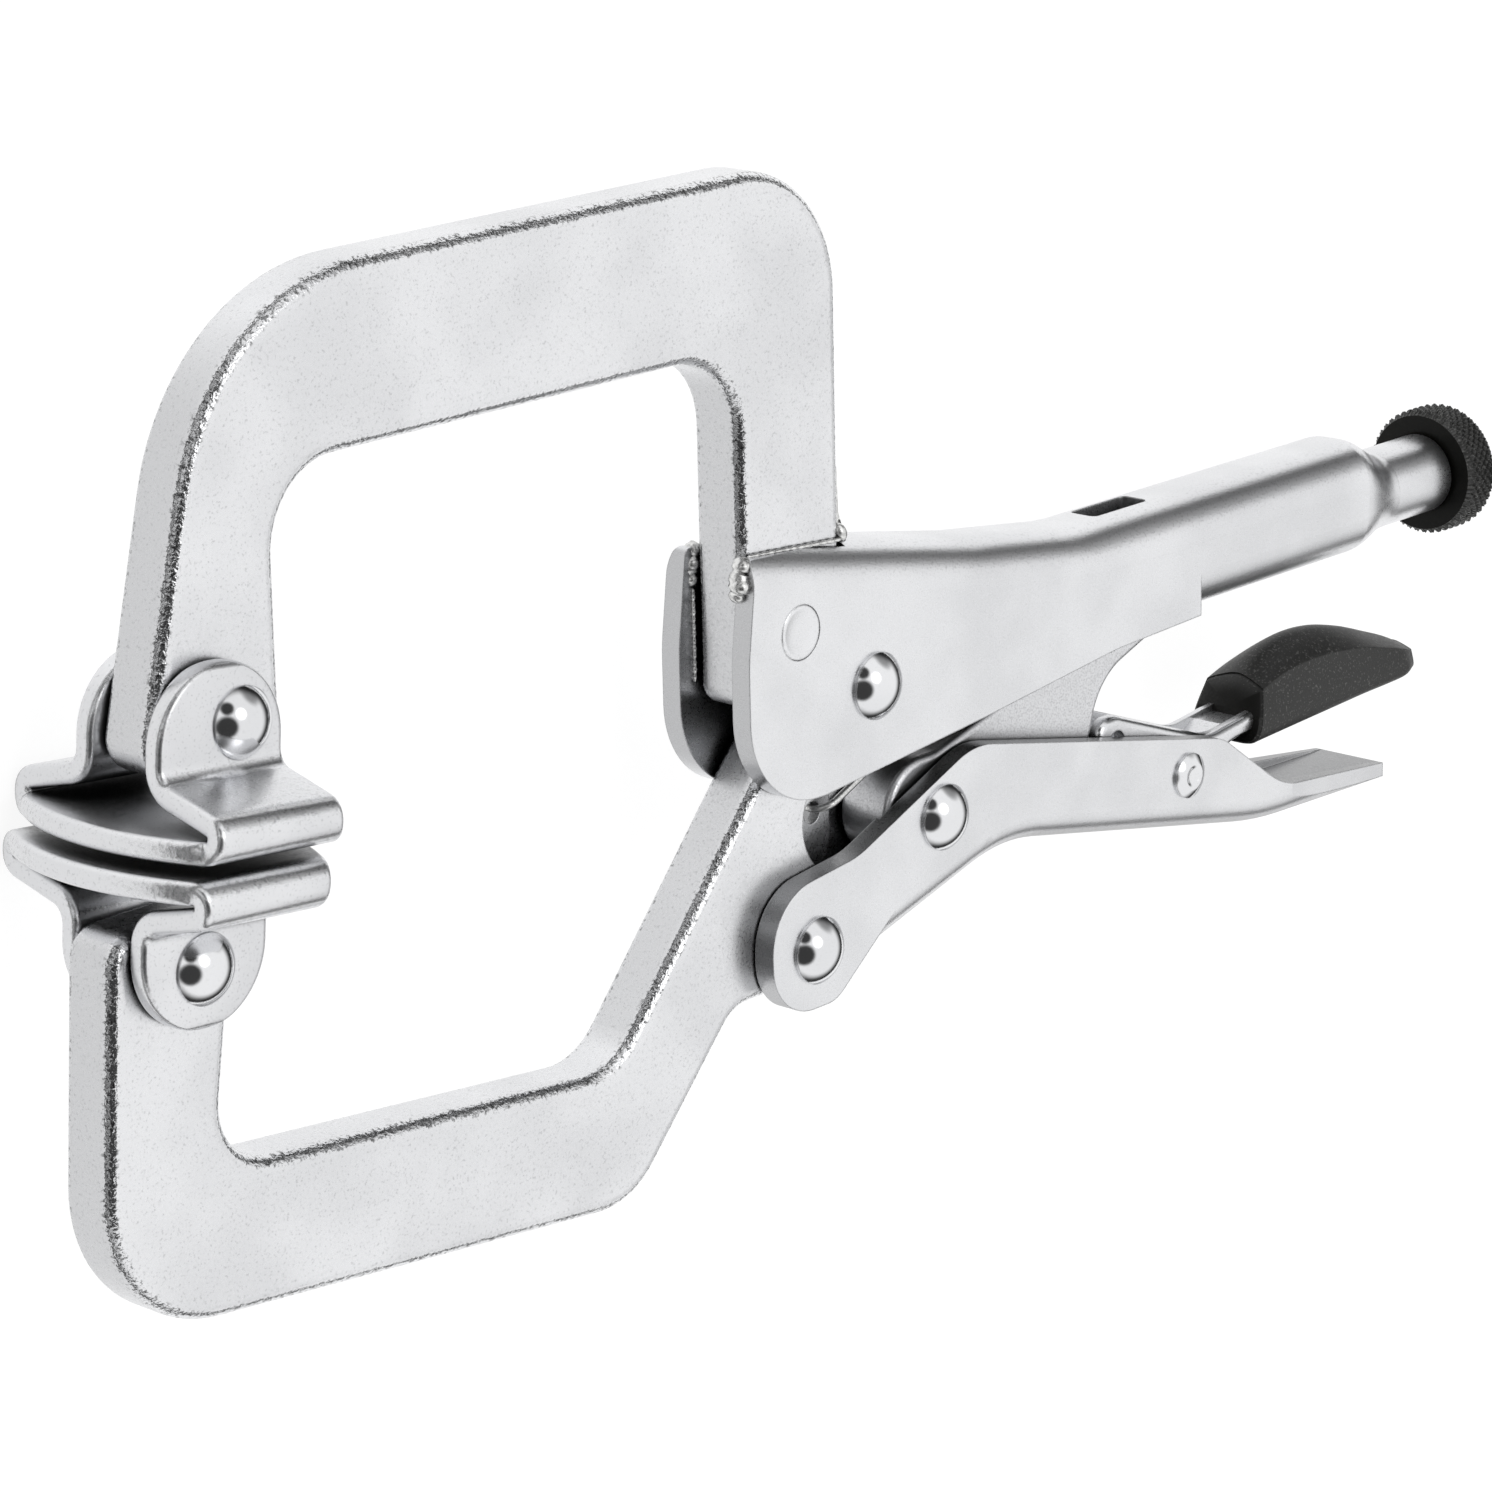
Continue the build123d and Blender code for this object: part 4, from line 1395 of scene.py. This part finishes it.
@dataclass(frozen=True)
class TentPlace:
    """Round place in the tent, with the angles in degrees where it is full and where it ends."""

    towards: Place
    inner: float
    outer: float
    light: float

    def share(self, tree: NodeTree, ray: Socket) -> Socket:
        """Share of the place in a direction.

        Args:
            tree: node tree of the world.
            ray: socket with the direction.

        Returns:
            The share's socket, from 0 outside to 1 inside.
        """
        node = tree.nodes.new("ShaderNodeVectorMath")
        node.operation = "DOT_PRODUCT"
        tree.feed(node.inputs[0], ray)
        tree.feed(node.inputs[1], Vector(self.towards).normalized())
        start, end = math.cos(math.radians(self.outer)), math.cos(math.radians(self.inner))
        return tree.span(node.outputs["Value"], 0.0, 1.0, start, end)


@dataclass
class Studio:
    """White floor in a bright tent that is dark at the horizon and in a few places, with one lamp."""

    floor_half: float = 4.0
    floor_drop: float = 0.2
    floor_paint: Colour = (0.20, 0.20, 0.20)
    floor_roughness: float = 0.9
    floor_glow: float = 0.90
    sky: float = 1.02
    gap_light: float = 0.04
    gap_start: float = 0.12
    gap_end: float = 0.48
    dark_places: tuple[TentPlace, ...] = (
        TentPlace((-0.62, -0.15, 0.77), 22.0, 33.0, 0.05),
        TentPlace((0.70, 0.62, 0.36), 5.0, 26.0, 0.32),
        TentPlace((-0.45, 0.62, 0.65), 12.0, 20.0, 0.05),
    )
    lamp: TentPlace = TentPlace((0.02, 0.33, 0.94), 7.0, 16.0, 1.6)

    def build(self, floor_level: float) -> None:
        """Make the floor and the light round it.

        Args:
            floor_level: height of the floor in metres.
        """
        bpy.context.scene.view_settings.view_transform = "Standard"
        level = floor_level - self.floor_drop * MM
        signs = ((-1, -1), (1, -1), (1, 1), (-1, 1))
        corners = [(x * self.floor_half, y * self.floor_half, level) for x, y in signs]
        mesh = bpy.data.meshes.new("floor")
        mesh.from_pydata(corners, [], [(0, 1, 2, 3)])
        floor = bpy.data.objects.new("floor", mesh)
        bpy.context.scene.collection.objects.link(floor)
        paint = Shader("floor_paint")
        paint.coat(
            Base_Color=(*self.floor_paint, 1.0),
            Roughness=self.floor_roughness,
            Emission_Color=WHITE,
            Emission_Strength=self.floor_glow,
        )
        mesh.materials.append(paint.material)
        floor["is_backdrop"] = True
        self.tent()

    def tent(self) -> None:
        """Make the light from all round."""
        world = bpy.data.worlds.new("tent")
        bpy.context.scene.world = world
        world.use_nodes = True
        tree = NodeTree(world.node_tree)
        towards = tree.add("ShaderNodeTexCoord").outputs["Generated"]
        height = tree.add("ShaderNodeSeparateXYZ", Vector=towards).outputs["Z"]
        light = tree.span(height, self.gap_light, self.sky, self.gap_start, self.gap_end)
        for place in self.dark_places:
            keep = tree.maths("MULTIPLY_ADD", place.share(tree, towards), place.light - 1.0, 1.0)
            light = tree.maths("MULTIPLY", light, keep)
        light = tree.maths("MULTIPLY_ADD", self.lamp.share(tree, towards), self.lamp.light, light)
        tree.feed(tree.nodes["Background"].inputs["Strength"], light)
        tree.feed(tree.nodes["Background"].inputs["Color"], WHITE)


# painted shade: strong darkening in hollows makes the gap between the handles dark
JAW_PLATING = PlatedSteel("jaw_plating", dent_depth=0.13, dent_dark=0.75, hollow_shade_reach=8.5, hollow_shade=0.95)
HANDLE_PLATING = PlatedSteel(
    "handle_plating",
    painted_side_shade=0.6,
    edge_rough=0.28,
    grain=0.2,
    grain_depth=0.003,
    speck=0.12,
    dent=0.35,
    dent_depth=0.022,
    dent_dark=0.2,
    hollow_shade_reach=10.0,
    hollow_shade=0.9,
)
# painted shade: the lower handle's faces that lean along Y are darkened in the colour
GRIP_PLATING = replace(HANDLE_PLATING, name="grip_plating", painted_top_shade=0.38)
LEVER_PLATING = PlatedSteel(
    "lever_plating", grain=0.25, dent_depth=0.010, dent_dark=0.1, hollow_shade_reach=5.0, hollow_shade=0.85
)
RIVET_PLATING = PlatedSteel(
    "rivet_plating",
    painted_side_shade=1.0,
    smooth=0.07,
    rough=0.12,
    edge_rough=0.09,
    grain_depth=0.001,
    speck=0.05,
    dent_depth=0.0,
    dent_dark=0.0,
    swell_depth=0.004,
    hollow_shade_reach=0.8,
)
PAD_PLATING = PlatedSteel(
    "pad_plating",
    painted_side_shade=0.85,
    smooth=0.28,
    rough=0.40,
    edge_rough=0.26,
    dent_depth=0.02,
    dent_dark=0.2,
    hollow_shade_reach=5.0,
    hollow_shade=0.85,
)
# painted shade: the link goes dark where it sits deep between the handles
LINK_STEEL = BareSteel(
    "link_steel", colour=(0.74, 0.745, 0.76), shade=(0.42, 0.42, 0.43), hollow_shade_reach=14.0, hollow_shade=0.97
)
WELD_STEEL = BareSteel(
    "weld_steel", colour=(0.78, 0.78, 0.77), roughness=0.22, grain=0.6, grain_depth=0.06
)
SPRING_STEEL = BareSteel("spring_steel", colour=(0.70, 0.70, 0.69))
SCREW_STEEL = BareSteel("screw_steel")
SLEEVE_VINYL = BlackFinish("sleeve_vinyl", speck=(0.13, 0.13, 0.125), grain=0.38)
KNOB_OXIDE = BlackFinish(
    "knob_oxide",
    colour=(0.009, 0.009, 0.008),
    speck=(0.16, 0.16, 0.155),
    roughness=0.36,
    grain=0.4,
    grain_depth=0.01,
    speck_span=(0.52, 0.76),
    gloss=0.55,
)


def main() -> None:
    """Build the camera, the studio and every piece's looks."""
    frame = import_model()
    low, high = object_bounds()
    mounts = {mount["name"]: mount for mount in frame["record"]["mounts"]}
    pivot = next(Vector(joint["pos_m"]) / MM for joint in frame["joints"] if joint["name"] == "jaw_open")
    PhotoCamera().build()
    Studio().build(low[2])

    dresser = Dresser(frame["nodes"])
    dresser.dress(JAW_PLATING.material(), "fixed_jaw", "moving_jaw")
    dresser.dress(HANDLE_PLATING.material(), "fixed_handle")
    dresser.dress(GRIP_PLATING.material(), "lower_handle")
    dresser.dress(LEVER_PLATING.material(), "release_lever")
    dresser.dress(LINK_STEEL.material(), "toggle_link")

    rivet_plating = RIVET_PLATING.material()
    for rivet in (
        Rivet("jaw_pivot_rivet", "handle_and_jaw"),
        Rivet("lower_handle_rivet", "lower_grip"),
        Rivet("link_rivet", "lower_grip"),
        Rivet(
            "lever_rivet",
            "lower_grip",
            head_radius=3.2,
            head_height=1.4,
            seat_height=1.4,
            shank_radius=2.2,
            dimple=0.6,
        ),
    ):
        rivet.build(rivet_plating)

    JawDowel().build(HANDLE_PLATING.material())
    welds = Welds()
    weld_steel = WELD_STEEL.material()
    for hand in Hand:
        welds.build_front(pivot, hand, weld_steel)
    welds.build_rear(pivot, weld_steel)
    TensionSpring().build(pivot, SPRING_STEEL.material())

    pad_plating = PAD_PLATING.material()
    for name in ("upper", "lower"):
        face = mounts[f"{name}_pad_face"]
        pad = SwivelPad(f"{name}_pad", f"{name}_swivel")
        pad.build(Vector(face["pos_m"]) / MM, -Vector(face["axis"]), pad_plating)
        Rivet(f"{name}_pad_rivet", f"{name}_swivel", head_radius=4.25).build(rivet_plating)

    DippedSleeve().build(pivot, SLEEVE_VINYL.material())
    drive = ScrewAndKnob()
    drive.build_screw(SCREW_STEEL.material())
    drive.build_knob(KNOB_OXIDE.material())


if __name__ == "__main__":
    logging.basicConfig(level=logging.INFO, format="%(name)s: %(message)s")
    main()
